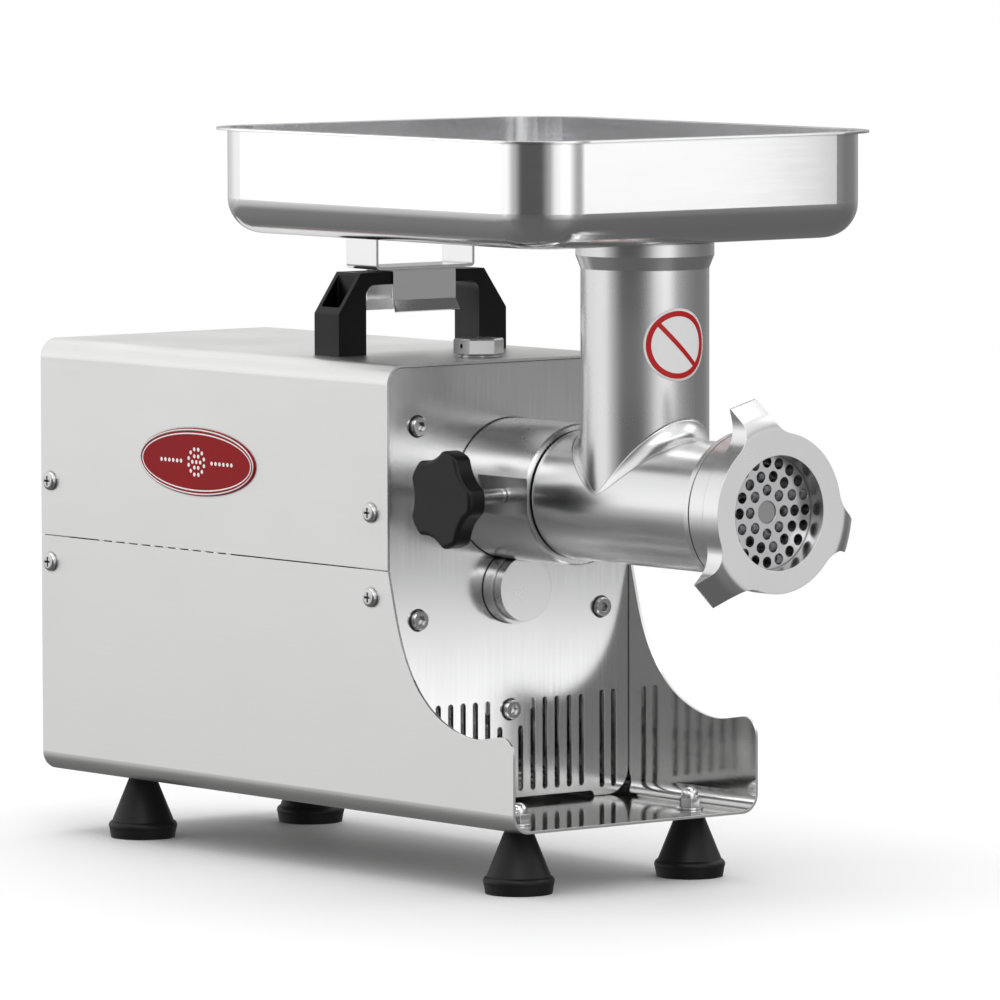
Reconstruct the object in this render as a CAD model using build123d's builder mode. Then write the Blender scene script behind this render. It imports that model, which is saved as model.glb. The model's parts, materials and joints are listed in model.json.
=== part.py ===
from build123d import *
import math
import os

os.makedirs("parts", exist_ok=True)

# Electric meat grinder, size 12. The origin is on the floor under the middle of the machine's
# overall length, +Z is up and the grinding head points to -Y, towards the operator.

# ---- Driving dimensions, mm ----
body_width = 170.0
body_length = 316.0
base_z = 35.0            # underside of the base shell, on top of the feet
seam_z = 168.0           # joint between the base shell and the upper cover
top_z = 279.0
bend_radius = 10.5
sheet = 1.5
seam_gap = 0.6

front_y = -48.0          # front edge of the upper cover
wing_reach = 107.0       # how far the base shell runs out in front of the front plate
rear_y = front_y + body_length
wing_y = front_y - wing_reach
plate_thickness = 2.0
plate_recess = 0.6       # the front plate and rear panel stand back from the cover's edges
plate_face_y = front_y + plate_recess
plate_back_y = plate_face_y + plate_thickness

axis_z = 209.0           # auger and output shaft
idler_z = 155.0          # intermediate shaft
motor_z = 113.5          # motor shaft

foot_x = 59.5
foot_ys = (front_y - 80.0, front_y + 256.0)
side_screw_ys = (front_y + 14.3, front_y + 307.0)
side_screw_zs = (199.0, 153.3)
flange_depth = 24.0
plate_screws = [(-63.8, 245.4), (63.8, 245.4), (-63.8, 140.6), (63.8, 140.6), (0.0, 88.2)]
housing_screws = plate_screws[:4]

handle_y = front_y + 87.0
handle_height = 45.0
neck_y = front_y - 114.0
neck_radius = 34.3
neck_top_z = 347.3
tray_bottom_z = 347.5
tray_top_z = 404.8
tray_y = front_y - 26.4

collar_radius = 38.3
collar_front_y = front_y - 60.0
clamp_y = front_y - 39.0
socket_floor_y = front_y - 22.0    # where the head's spigot ends inside the collar
barrel_front_y = front_y - 213.5
plate_seat_y = front_y - 208.0
ring_front_y = front_y - 224.0
barrel_bore = 31.0

run = 0.05               # radial running clearance of a shaft in its bearing
thread_fit = 0.04        # radial clearance of a screw in its thread


def frontal(y):
    """Plane across the machine at y, drawn as X and Z, whose normal points forwards to -Y."""
    return Plane.XZ.offset(-y)


def side(x):
    """Plane along the machine at x, drawn as Y and Z, whose normal points to +X."""
    return Plane.YZ.offset(x)


def level(z):
    """Horizontal plane at z, drawn as X and Y, whose normal points up."""
    return Plane.XY.offset(z)


# ---- Casing ----

# U-shaped base sheet with the two wings in front of the front plate
with BuildPart() as base_shell:
    with BuildSketch(frontal(rear_y)):
        with Locations((0, (base_z + seam_z) / 2)):
            Rectangle(body_width, seam_z - base_z)
        fillet(vertices().group_by(Axis.Y)[0], bend_radius)
    extrude(amount=rear_y - wing_y)
    open_faces = base_shell.faces().filter_by(Axis.Y) + base_shell.faces().sort_by(Axis.Z)[-1:]
    offset(amount=-sheet, openings=open_faces)
    # the wings sweep down in a hollow curve to a low lip with a rounded front corner
    with BuildSketch(Plane.YZ):
        with BuildLine():
            sweep_down = Spline(
                (front_y, seam_z),
                (front_y - 15.3, 121.0),
                (front_y - 40.6, 94.0),
                (front_y - 75.0, 83.7),
                (front_y - 95.6, 86.4),
                tangents=[(-0.28, -1), (-1, 0.14)],
            )
            lip = JernArc(sweep_down @ 1, (-1, 0.14), radius=10, arc_size=98)
            Polyline(
                lip @ 1,
                (wing_y - 5, (lip @ 1).Y),
                (wing_y - 5, seam_z + 5),
                (front_y, seam_z + 5),
                (front_y, seam_z),
            )
        make_face()
    extrude(amount=body_width, both=True, mode=Mode.SUBTRACT)
    # bolt holes of the feet and air slots under the motor
    with BuildSketch(level(base_z)):
        with Locations(*[(x, y) for x in (-foot_x, foot_x) for y in foot_ys]):
            Circle(3.2)
        with Locations((0, front_y + 120)):
            with GridLocations(9, 60, 9, 2):
                SlotOverall(40, 3.5, rotation=90)
    extrude(amount=sheet, mode=Mode.SUBTRACT)
    # clearance holes of the lower side screws
    with BuildSketch(Plane.YZ):
        with Locations(*[(y, side_screw_zs[1]) for y in side_screw_ys]):
            Circle(2.2)
    extrude(amount=body_width, both=True, mode=Mode.SUBTRACT)
base_shell.part.label = "base_shell"
export_step(base_shell.part, "parts/base_shell.step")

# inverted U-shaped cover over the gearbox and motor
breather_y = front_y + 27.5
handle_screw_x = 50.0
with BuildPart() as upper_cover:
    with BuildSketch(frontal(rear_y)):
        with Locations((0, (seam_z + seam_gap + top_z) / 2)):
            Rectangle(body_width, top_z - seam_z - seam_gap)
        fillet(vertices().group_by(Axis.Y)[-1], bend_radius)
    extrude(amount=body_length)
    open_faces = upper_cover.faces().filter_by(Axis.Y) + upper_cover.faces().sort_by(Axis.Z)[:1]
    offset(amount=-sheet, openings=open_faces)
    with BuildSketch(level(top_z)):
        with Locations((0, breather_y)):
            Circle(8.3)
        with Locations((-handle_screw_x, handle_y), (handle_screw_x, handle_y)):
            Circle(3.2)
    extrude(amount=-sheet, mode=Mode.SUBTRACT)
    with BuildSketch(Plane.YZ):
        with Locations(*[(y, side_screw_zs[0]) for y in side_screw_ys]):
            Circle(2.2)
    extrude(amount=body_width, both=True, mode=Mode.SUBTRACT)
    # cut-out of the rocker switch in the right-hand side
    switch_y = front_y + 104.0
    switch_z = 226.0
    with BuildSketch(side(body_width / 2)):
        with Locations((switch_y, switch_z)):
            Rectangle(38, 22)
    extrude(amount=-sheet, mode=Mode.SUBTRACT)
upper_cover.part.label = "upper_cover"
export_step(upper_cover.part, "parts/upper_cover.step")

# the front plate and the rear panel share one outline and the side flanges for the screws
panel_width = body_width - 2 * sheet - 0.4
panel_bottom_z = base_z + sheet + 0.3
panel_top_z = top_z - sheet - 0.3
flange_top_z = 262.0
flange_bottom_z = 62.0
bearing_boss_radius = 19.3
slot_width = 3.5
middle_slots = [7.3, 15.8, 24.3, 32.8, 41.4, 50.0]
outer_slots = [64.5, 72.7]


def panel_outline(top_radius, bottom_radius):
    """Outline of a sheet that closes an end of the casing, in the plane of the open sketch."""
    with Locations((0, (panel_bottom_z + panel_top_z) / 2)):
        Rectangle(panel_width, panel_top_z - panel_bottom_z)
    corners = vertices().group_by(Axis.Y)
    fillet(corners[-1], top_radius)
    fillet(vertices().group_by(Axis.Y)[0], bottom_radius)


def side_flange(face_y, inward):
    """Pair of flanges bent back from a panel's long edges, tapped for the side screws."""
    middle_z = (flange_top_z + flange_bottom_z) / 2
    with BuildSketch(frontal(face_y)) as flanges:
        with Locations(*[(s * (panel_width - plate_thickness) / 2, middle_z) for s in (-1, 1)]):
            Rectangle(plate_thickness, flange_top_z - flange_bottom_z)
    extrude(flanges.sketch, amount=-inward * flange_depth)


def flange_holes(screw_y):
    """Tapped holes of the side screws in both flanges."""
    with BuildSketch(Plane.YZ) as holes:
        with Locations(*[(screw_y, z) for z in side_screw_zs]):
            Circle(2.0 + thread_fit)
    extrude(holes.sketch, amount=body_width, both=True, mode=Mode.SUBTRACT)


with BuildPart() as front_plate:
    with BuildSketch(frontal(plate_face_y)):
        panel_outline(9.0, 15.0)
        # keyhole around the collar and the bearing boss
        with Locations((0, axis_z)):
            Circle(collar_radius + 0.4, mode=Mode.SUBTRACT)
        with Locations((0, idler_z)):
            Circle(bearing_boss_radius + 0.4, mode=Mode.SUBTRACT)
        with Locations(*plate_screws):
            Circle(3.3, mode=Mode.SUBTRACT)
        # air slots, the middle pair is shorter under the lowest screw
        for s in (-1, 1):
            for x in middle_slots:
                low, high = (43.0, 79.0) if x < 10 else (43.0, 93.5)
                with Locations((s * x, (low + high) / 2)):
                    SlotOverall(high - low, slot_width, rotation=90, mode=Mode.SUBTRACT)
            for x in outer_slots:
                with Locations((s * x, 68.0)):
                    SlotOverall(54.0, slot_width, rotation=90, mode=Mode.SUBTRACT)
        # shallow drain notch in the lower edge
        with Locations((0, panel_bottom_z)):
            SlotOverall(118, 6, mode=Mode.SUBTRACT)
    extrude(amount=-plate_thickness)
    side_flange(plate_face_y, 1)
    # dished seats of the five gearbox screws
    with Locations(*[(x, plate_face_y, z) for x, z in plate_screws]):
        Cone(6.2, 5.4, 0.8, rotation=(-90, 0, 0), align=(Align.CENTER, Align.CENTER, Align.MIN),
             mode=Mode.SUBTRACT)
    flange_holes(side_screw_ys[0])
front_plate.part.label = "front_plate"
export_step(front_plate.part, "parts/front_plate.step")

inlet_x = -38.0
inlet_flange = 3.0
inlet_z = 78.0
breaker_x = 34.0
panel_face_y = rear_y - plate_recess
inlet_face_y = panel_face_y + inlet_flange
with BuildPart() as rear_panel:
    with BuildSketch(frontal(panel_face_y)):
        panel_outline(9.0, 9.0)
        # exhaust slots behind the fan
        for z in (150, 200):
            with Locations((0, z)):
                with GridLocations(9, 1, 11, 1):
                    SlotOverall(40, 3.5, rotation=90, mode=Mode.SUBTRACT)
        with Locations((inlet_x, inlet_z)):
            Rectangle(28, 20.5, mode=Mode.SUBTRACT)
        with Locations((inlet_x - 20, inlet_z), (inlet_x + 20, inlet_z)):
            Circle(1.6, mode=Mode.SUBTRACT)
        with Locations((breaker_x, inlet_z)):
            Circle(6.1, mode=Mode.SUBTRACT)
    extrude(amount=plate_thickness)
    side_flange(panel_face_y, -1)
    flange_holes(side_screw_ys[1])
rear_panel.part.label = "rear_panel"
export_step(rear_panel.part, "parts/rear_panel.step")


def cross_recess(plane, size, depth):
    """Cross recess of a screw head, cut into the open part from the given plane."""
    with BuildSketch(plane) as cross:
        Rectangle(size, size / 4.5)
        Rectangle(size / 4.5, size)
    extrude(cross.sketch, amount=-depth, mode=Mode.SUBTRACT)


def pan_screw(radius, length, head_radius, head_height, recess):
    """Cross-recessed pan head screw along +Z, seated at z = 0 with the shank below."""
    with BuildPart() as screw:
        with BuildSketch(level(0)) as head:
            Circle(head_radius)
        extrude(head.sketch, amount=head_height)
        fillet(screw.edges().group_by(Axis.Z)[-1], head_height * 0.7)
        with BuildSketch(level(0)) as shank:
            Circle(radius)
        extrude(shank.sketch, amount=-length)
        cross_recess(level(head_height), recess, head_height * 0.6)
    return screw.part


# cross-recessed pan head screws of both sheet shells, four on each side
side_screw = pan_screw(2.0, 7.5, 5.3, 2.8, 5.4)
with BuildPart() as side_screws:
    for s in (-1, 1):
        for y in side_screw_ys:
            for z in side_screw_zs:
                seat = Plane(origin=(s * body_width / 2, y, z), x_dir=(0, 1, 0), z_dir=(s, 0, 0))
                add(seat.location * side_screw)
side_screws.part.label = "side_screws"
export_step(side_screws.part, "parts/side_screws.step")

# ---- Feet ----

floor_top_z = base_z + sheet
with BuildPart() as foot:
    with BuildSketch(Plane.XZ):
        with BuildLine():
            Polyline((7.0, 0), (18.0, 0), (19.0, 5.5))
            ThreePointArc((19.0, 5.5), (19.0, 8.0), (17.4, 9.4))
            Polyline((17.4, 9.4), (7.9, 33.0), (7.9, base_z), (3.1, base_z), (3.1, 8.0), (7.0, 8.0), (7.0, 0))
        make_face()
    revolve(axis=Axis.Z)
foot_places = [(s * foot_x, y) for s in (-1, 1) for y in foot_ys]
with BuildPart() as feet:
    with Locations(*[(x, y, 0) for x, y in foot_places]):
        add(foot.part)
feet.part.label = "feet"
export_step(feet.part, "parts/feet.step")

# hexagon bolts up through the feet, with washers and domed cap nuts on the base floor
with BuildPart() as foot_bolts:
    with BuildSketch(level(4.0)):
        with Locations(*foot_places):
            RegularPolygon(5.0, 6, major_radius=False)
    extrude(amount=4.0)
    with BuildSketch(level(8.0)):
        with Locations(*foot_places):
            Circle(3.0)
    extrude(amount=38.0)
foot_bolts.part.label = "foot_bolts"
export_step(foot_bolts.part, "parts/foot_bolts.step")

nut_height = 6.0
dome_height = 6.0
with BuildPart() as cap_nut:
    with BuildSketch(level(0)):
        Circle(7.2)
    extrude(amount=1.0)
    with BuildSketch(level(1.0)):
        RegularPolygon(5.0, 6, major_radius=False)
    extrude(amount=nut_height - 1.0)
    with BuildSketch(level(nut_height)):
        Circle(4.7)
    extrude(amount=dome_height)
    fillet(cap_nut.edges().group_by(Axis.Z)[-1], 4.4)
    with BuildSketch(level(0)):
        Circle(3.0 + thread_fit)
    extrude(amount=10.0, mode=Mode.SUBTRACT)
with BuildPart() as cap_nuts:
    with Locations(*[(x, y, floor_top_z) for x, y in foot_places]):
        add(cap_nut.part)
cap_nuts.part.label = "cap_nuts"
export_step(cap_nuts.part, "parts/cap_nuts.step")

# ---- Carry handle, breather plug and badge ----

handle_length = 117.0
handle_width = 21.7
grip_thickness = 6.8
window_width = 79.0
handle_top_z = top_z + handle_height
with BuildPart() as carry_handle:
    with BuildSketch(frontal(handle_y + handle_width / 2)):
        with BuildLine():
            half = handle_length / 2
            slope = half - 15.5
            Polyline(
                (-half, top_z),
                (-half, handle_top_z - 22.0),
                (-slope, handle_top_z),
                (slope, handle_top_z),
                (half, handle_top_z - 22.0),
                (half, top_z),
                close=True,
            )
        make_face()
        with BuildSketch(mode=Mode.SUBTRACT):
            window_height = handle_height - grip_thickness
            with Locations((0, top_z + window_height / 2)):
                Rectangle(window_width, window_height)
            fillet(vertices().group_by(Axis.Y)[-1], 6.0)
    extrude(amount=handle_width)
    # hollow legs, open in the sloping faces, with a floor for the screw
    with BuildSketch(level(top_z + 6.0)):
        with Locations((-handle_screw_x, handle_y), (handle_screw_x, handle_y)):
            RectangleRounded(12.0, 16.0, 1.0)
    extrude(amount=handle_height, mode=Mode.SUBTRACT)
    with BuildSketch(level(top_z)):
        with Locations((-handle_screw_x, handle_y), (handle_screw_x, handle_y)):
            Circle(3.1)
    extrude(amount=6.0, mode=Mode.SUBTRACT)
carry_handle.part.label = "carry_handle"
export_step(carry_handle.part, "parts/carry_handle.step")

handle_screw = pan_screw(3.0, 14.0, 5.4, 3.6, 6.0)
with BuildPart() as handle_screws:
    with Locations((-handle_screw_x, handle_y, top_z + 6.0), (handle_screw_x, handle_y, top_z + 6.0)):
        add(handle_screw)
handle_screws.part.label = "handle_screws"
export_step(handle_screws.part, "parts/handle_screws.step")

with BuildPart() as handle_nuts:
    with BuildSketch(level(top_z - sheet)):
        with Locations((-handle_screw_x, handle_y), (handle_screw_x, handle_y)):
            RegularPolygon(5.0, 6, major_radius=False)
            Circle(3.0 + thread_fit, mode=Mode.SUBTRACT)
    extrude(amount=-4.8)
handle_nuts.part.label = "handle_nuts"
export_step(handle_nuts.part, "parts/handle_nuts.step")

# vented oil filler plug, screwed through the cover into the gearbox
plug_thread_radius = 8.0
washer_thickness = 1.2
plug_seat_z = top_z + washer_thickness
with BuildPart() as breather_plug:
    with BuildSketch(level(plug_seat_z)):
        with Locations((0, breather_y)):
            Circle(10.6)
    extrude(amount=0.8)
    with BuildSketch(level(plug_seat_z + 0.8)):
        with Locations((0, breather_y)):
            RegularPolygon(12.0, 6, major_radius=False, rotation=30)
    extrude(amount=8.2)
    chamfer(breather_plug.faces().sort_by(Axis.Z)[-1].edges(), 0.8)
    with BuildSketch(level(plug_seat_z)):
        with Locations((0, breather_y)):
            Circle(plug_thread_radius)
    extrude(amount=-13.0)
    # vent drilled across and down through the plug
    with BuildSketch(side(0)):
        with Locations((breather_y, plug_seat_z + 5.0)):
            Circle(1.3)
    extrude(amount=-14.0, mode=Mode.SUBTRACT)
    with BuildSketch(level(plug_seat_z + 5.0)):
        with Locations((0, breather_y)):
            Circle(1.3)
    extrude(amount=-20.0, mode=Mode.SUBTRACT)
breather_plug.part.label = "breather_plug"
export_step(breather_plug.part, "parts/breather_plug.step")

with BuildPart() as plug_washer:
    with BuildSketch(level(top_z)):
        with Locations((0, breather_y)):
            Circle(11.4)
            Circle(8.3, mode=Mode.SUBTRACT)
    extrude(amount=washer_thickness)
plug_washer.part.label = "plug_washer"
export_step(plug_washer.part, "parts/plug_washer.step")

# plain oval badge plate on the left-hand side
with BuildPart() as side_badge:
    with BuildSketch(side(-body_width / 2)):
        with Locations((front_y + 169.0, 217.5)):
            Ellipse(52.5, 18.75)
    extrude(amount=-1.2)
    chamfer(side_badge.faces().sort_by(Axis.X)[0].edges(), 0.5)
side_badge.part.label = "side_badge"
export_step(side_badge.part, "parts/side_badge.step")

# ---- Gearbox housings ----

casting_front_y = plate_back_y
casting_split_y = front_y + 44.0
casting_rear_y = front_y + 58.0
cavity_front_y = front_y + 6.5
shaft_radius = 17.5
bearing_front_y = front_y - 12.0
idler_bearing_radius = 14.0
idler_bearing_width = 8.0
motor_bearing_radius = 16.0
output_rear_bearing_radius = 21.0


def casting_outline():
    """Outline of the gearbox: the five screw bosses and the output gear, pulled tight."""
    with Locations(*plate_screws):
        Circle(11.0)
    with Locations((0, axis_z)):
        Circle(51.0)
    make_hull()


with BuildPart() as gearbox_front_housing:
    with BuildSketch(frontal(casting_split_y)):
        casting_outline()
    extrude(amount=casting_split_y - casting_front_y)
    # collar that takes the grinding head, and the boss of the intermediate bearing below it
    with BuildSketch(frontal(casting_split_y)):
        with Locations((0, axis_z)):
            Circle(collar_radius)
    extrude(amount=casting_split_y - collar_front_y)
    chamfer(gearbox_front_housing.faces().sort_by(Axis.Y)[0].edges(), 1.0)
    with BuildSketch(frontal(casting_front_y)):
        with Locations((0, idler_z)):
            Circle(bearing_boss_radius)
    extrude(amount=casting_front_y - front_y + 7.0)
    with BuildSketch(frontal(casting_front_y)):
        with Locations((0, idler_z)):
            Circle(17.6)
    extrude(amount=casting_front_y - front_y + 13.2)
    # filler boss under the breather plug
    with BuildSketch(level(axis_z + 45)):
        with Locations((0, breather_y)):
            Circle(12.5)
    extrude(amount=top_z - sheet - 0.3 - axis_z - 45)
    # flat on the left of the collar around the clamp stud
    with BuildSketch(side(-36.9)):
        with Locations((clamp_y, axis_z)):
            Rectangle(42.0, 24.0)
    extrude(amount=-5.0, mode=Mode.SUBTRACT)
    with BuildSketch(side(-25.0)):
        with Locations((clamp_y, axis_z)):
            Circle(4.0)
    extrude(amount=-15.0, mode=Mode.SUBTRACT)
    # socket of the head, seal seat, shaft hole and bearing seat, from the front to the back
    with BuildSketch(frontal(socket_floor_y)):
        with Locations((0, axis_z)):
            Circle(30.05)
    extrude(amount=socket_floor_y - collar_front_y, mode=Mode.SUBTRACT)
    with BuildSketch(frontal(front_y - 15.0)):
        with Locations((0, axis_z)):
            Circle(25.0)
    extrude(amount=7.0, mode=Mode.SUBTRACT)
    with BuildSketch(frontal(bearing_front_y)):
        with Locations((0, axis_z)):
            Circle(19.0)
    extrude(amount=3.0, mode=Mode.SUBTRACT)
    with BuildSketch(frontal(cavity_front_y)):
        with Locations((0, axis_z)):
            Circle(31.0)
    extrude(amount=cavity_front_y - bearing_front_y, mode=Mode.SUBTRACT)
    with BuildSketch(frontal(cavity_front_y)):
        with Locations((0, idler_z)):
            Circle(idler_bearing_radius)
    extrude(amount=cavity_front_y - front_y + 8.0, mode=Mode.SUBTRACT)
    # gear chamber
    with BuildSketch(frontal(casting_split_y)):
        with Locations((0, axis_z)):
            Circle(45.5)
        with Locations((0, idler_z)):
            Circle(37.0)
        with Locations((0, motor_z)):
            Circle(14.0)
        with Locations((0, 120.0)):
            Rectangle(28.0, 16.0)
    extrude(amount=casting_split_y - cavity_front_y, mode=Mode.SUBTRACT)
    # oil passage up to the plug's thread
    with BuildSketch(level(top_z)):
        with Locations((0, breather_y)):
            Circle(plug_thread_radius + thread_fit)
    extrude(amount=-30.0, mode=Mode.SUBTRACT)
    # tapped holes of the plate screws in front and of the housing screws behind
    with BuildSketch(frontal(casting_front_y)):
        with Locations(*plate_screws):
            Circle(3.0 + thread_fit)
    extrude(amount=-16.0, mode=Mode.SUBTRACT)
    with BuildSketch(frontal(casting_split_y)):
        with Locations(*housing_screws):
            Circle(2.5 + thread_fit)
    extrude(amount=14.0, mode=Mode.SUBTRACT)
gearbox_front_housing.part.label = "gearbox_front_housing"
export_step(gearbox_front_housing.part, "parts/gearbox_front_housing.step")

motor_bolt_radius = 46.0
motor_radius = 52.0
motor_bolt_places = [
    (motor_bolt_radius * math.cos(math.radians(a)), motor_z + motor_bolt_radius * math.sin(math.radians(a)))
    for a in (20, 160, 200, 340)
]
with BuildPart() as gearbox_rear_housing:
    with BuildSketch(frontal(casting_rear_y)):
        casting_outline()
        with Locations((0, motor_z)):
            Circle(motor_radius)
        with Locations((0, motor_z)):
            Circle(8.5, mode=Mode.SUBTRACT)
        with Locations(*motor_bolt_places):
            Circle(2.0 + thread_fit, mode=Mode.SUBTRACT)
        with Locations(*housing_screws):
            Circle(2.7, mode=Mode.SUBTRACT)
    extrude(amount=casting_rear_y - casting_split_y - 0.4)
    front_wall_y = casting_split_y + 0.4
    for z, radius, depth in ((axis_z, output_rear_bearing_radius, 12.0), (idler_z, idler_bearing_radius, 8.0)):
        with BuildSketch(frontal(front_wall_y)):
            with Locations((0, z)):
                Circle(radius)
        extrude(amount=-depth, mode=Mode.SUBTRACT)
gearbox_rear_housing.part.label = "gearbox_rear_housing"
export_step(gearbox_rear_housing.part, "parts/gearbox_rear_housing.step")

with BuildPart() as gearbox_gasket:
    with BuildSketch(frontal(front_wall_y)):
        casting_outline()
        with Locations((0, axis_z)):
            Circle(46.0, mode=Mode.SUBTRACT)
        with Locations((0, idler_z)):
            Circle(37.5, mode=Mode.SUBTRACT)
        with Locations((0, motor_z)):
            Circle(15.0, mode=Mode.SUBTRACT)
        with Locations(*housing_screws):
            Circle(2.7, mode=Mode.SUBTRACT)
    extrude(amount=0.4)
gearbox_gasket.part.label = "gearbox_gasket"
export_step(gearbox_gasket.part, "parts/gearbox_gasket.step")


def socket_screw(radius, length, head_radius, head_height, socket):
    """Hexagon socket screw along +Z: the head stands above z = 0 and the shank runs down."""
    with BuildPart() as screw:
        with BuildSketch(level(0)):
            Circle(head_radius)
        extrude(amount=head_height)
        chamfer(screw.edges().group_by(Axis.Z)[-1], 0.5)
        with BuildSketch(level(0)):
            Circle(radius)
        extrude(amount=-length)
        with BuildSketch(level(head_height)):
            RegularPolygon(socket / 2, 6, major_radius=False)
        extrude(amount=-head_height * 0.6, mode=Mode.SUBTRACT)
    return screw.part


plate_screw = socket_screw(3.0, 15.0, 5.2, 4.0, 5.0)
with BuildPart() as plate_screw_set:
    for x, z in plate_screws:
        seat = Plane(origin=(x, plate_face_y + 0.8, z), x_dir=(1, 0, 0), z_dir=(0, -1, 0))
        add(seat.location * plate_screw)
plate_screw_set.part.label = "plate_screws"
export_step(plate_screw_set.part, "parts/plate_screws.step")

housing_screw = socket_screw(2.5, 26.0, 4.3, 5.0, 4.0)
with BuildPart() as gearbox_screws:
    for x, z in housing_screws:
        seat = Plane(origin=(x, casting_rear_y, z), x_dir=(1, 0, 0), z_dir=(0, 1, 0))
        add(seat.location * housing_screw)
gearbox_screws.part.label = "gearbox_screws"
export_step(gearbox_screws.part, "parts/gearbox_screws.step")


# ---- Bearings and seal ----

def ball_bearing(z, y_front, outer, inner, width):
    """Sealed ball bearing on an axis along Y, with the shields sunk between its two rings."""
    with BuildPart() as bearing:
        with BuildSketch(frontal(y_front + width)):
            with Locations((0, z)):
                Circle(outer)
                Circle(inner, mode=Mode.SUBTRACT)
        extrude(amount=width)
        race = (outer - inner) * 0.25
        for y, direction in ((y_front, -1), (y_front + width, 1)):
            with BuildSketch(frontal(y)):
                with Locations((0, z)):
                    Circle(outer - race)
                    Circle(inner + race, mode=Mode.SUBTRACT)
            extrude(amount=direction * 0.6, mode=Mode.SUBTRACT)
    return bearing.part


output_front_bearing = ball_bearing(axis_z, bearing_front_y, 31.0, shaft_radius, 14.0)
output_front_bearing.label = "output_front_bearing"
export_step(output_front_bearing, "parts/output_front_bearing.step")

output_rear_bearing = ball_bearing(axis_z, front_wall_y, output_rear_bearing_radius, 10.0, 12.0)
output_rear_bearing.label = "output_rear_bearing"
export_step(output_rear_bearing, "parts/output_rear_bearing.step")

idler_bearing_ys = (front_y - 8.0, front_wall_y)
with BuildPart() as intermediate_bearings:
    for y in idler_bearing_ys:
        add(ball_bearing(idler_z, y, idler_bearing_radius, 6.0, idler_bearing_width))
intermediate_bearings.part.label = "intermediate_bearings"
export_step(intermediate_bearings.part, "parts/intermediate_bearings.step")

with BuildPart() as shaft_seal:
    with BuildSketch(frontal(front_y - 15.0)):
        with Locations((0, axis_z)):
            Circle(25.0)
            Circle(shaft_radius, mode=Mode.SUBTRACT)
    extrude(amount=7.0)
    with BuildSketch(frontal(socket_floor_y)):
        with Locations((0, axis_z)):
            Circle(22.5)
            Circle(shaft_radius + 1.5, mode=Mode.SUBTRACT)
    extrude(amount=-2.5, mode=Mode.SUBTRACT)
shaft_seal.part.label = "shaft_seal"
export_step(shaft_seal.part, "parts/shaft_seal.step")

# ---- Gears and shafts ----

output_teeth = 55
pinion_teeth = 17
idler_teeth = 66
output_module = 1.5
input_module = 1.0
pressure_angle = math.radians(20)


def gear_outline(teeth, module, first_tooth):
    """Corner points of an involute spur gear with one tooth at first_tooth degrees."""
    pitch_radius = teeth * module / 2
    base_radius = pitch_radius * math.cos(pressure_angle)
    root_radius = pitch_radius - 1.25 * module
    tip_radius = pitch_radius + module
    backlash_angle = 0.06 * module / pitch_radius

    def involute(radius):
        roll = math.acos(min(1.0, base_radius / radius))
        return math.tan(roll) - roll

    half_pitch_angle = math.pi / (2 * teeth) - backlash_angle
    start_radius = max(base_radius, root_radius)
    flank = [start_radius + (tip_radius - start_radius) * i / 3 for i in range(4)]
    half_angles = [half_pitch_angle + involute(pitch_radius) - involute(r) for r in flank]
    profile = [(root_radius, -half_angles[0])]
    profile += [(r, -a) for r, a in zip(flank, half_angles)]
    profile += [(r, a) for r, a in reversed(list(zip(flank, half_angles)))]
    profile += [(root_radius, half_angles[0])]
    if root_radius >= base_radius:
        profile = profile[1:-1]
    points = []
    for tooth in range(teeth):
        centre = math.radians(first_tooth) + 2 * math.pi * tooth / teeth
        points += [(r * math.cos(centre + a), r * math.sin(centre + a)) for r, a in profile]
    return points


def spur_gear(z, y_front, width, teeth, module, first_tooth):
    """Spur gear on an axis along Y, added to the open part."""
    with BuildSketch(frontal(y_front + width)) as outline:
        with BuildLine():
            points = [(x, z + dz) for x, dz in gear_outline(teeth, module, first_tooth)]
            Polyline(*points, close=True)
        make_face()
    extrude(outline.sketch, amount=width)


def turned(z, y_front, y_back, radius, mode=Mode.ADD):
    """One cylindrical step along Y, added to or cut from the open part."""
    with BuildSketch(frontal(y_back)) as disc:
        with Locations((0, z)):
            Circle(radius)
    extrude(disc.sketch, amount=y_back - y_front, mode=mode)


gear_front_y = front_y + 9.0
gear_width = 18.0
gear_seat_radius = 16.0
socket_square = 14.2
shaft_front_y = front_y - 20.0
key_width = 8.0
key_depth = 3.0
key_length = 14.0
key_y = gear_front_y + gear_width / 2

with BuildPart() as output_shaft:
    turned(axis_z, shaft_front_y, gear_front_y, shaft_radius - run)
    turned(axis_z, gear_front_y, gear_front_y + gear_width, gear_seat_radius)
    turned(axis_z, gear_front_y + gear_width, front_wall_y - 0.5, 13.0)
    turned(axis_z, front_wall_y - 0.5, front_wall_y + 11.5, 10.0 - run)
    # square socket that drives the auger
    with BuildSketch(frontal(front_y - 2.0)):
        with Locations((0, axis_z)):
            Rectangle(socket_square, socket_square)
    extrude(amount=18.0, mode=Mode.SUBTRACT)
    with BuildSketch(level(axis_z + gear_seat_radius)):
        with Locations((0, key_y)):
            SlotOverall(key_length, key_width, rotation=90)
    extrude(amount=-key_depth, mode=Mode.SUBTRACT)
output_shaft.part.label = "output_shaft"
export_step(output_shaft.part, "parts/output_shaft.step")

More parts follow.
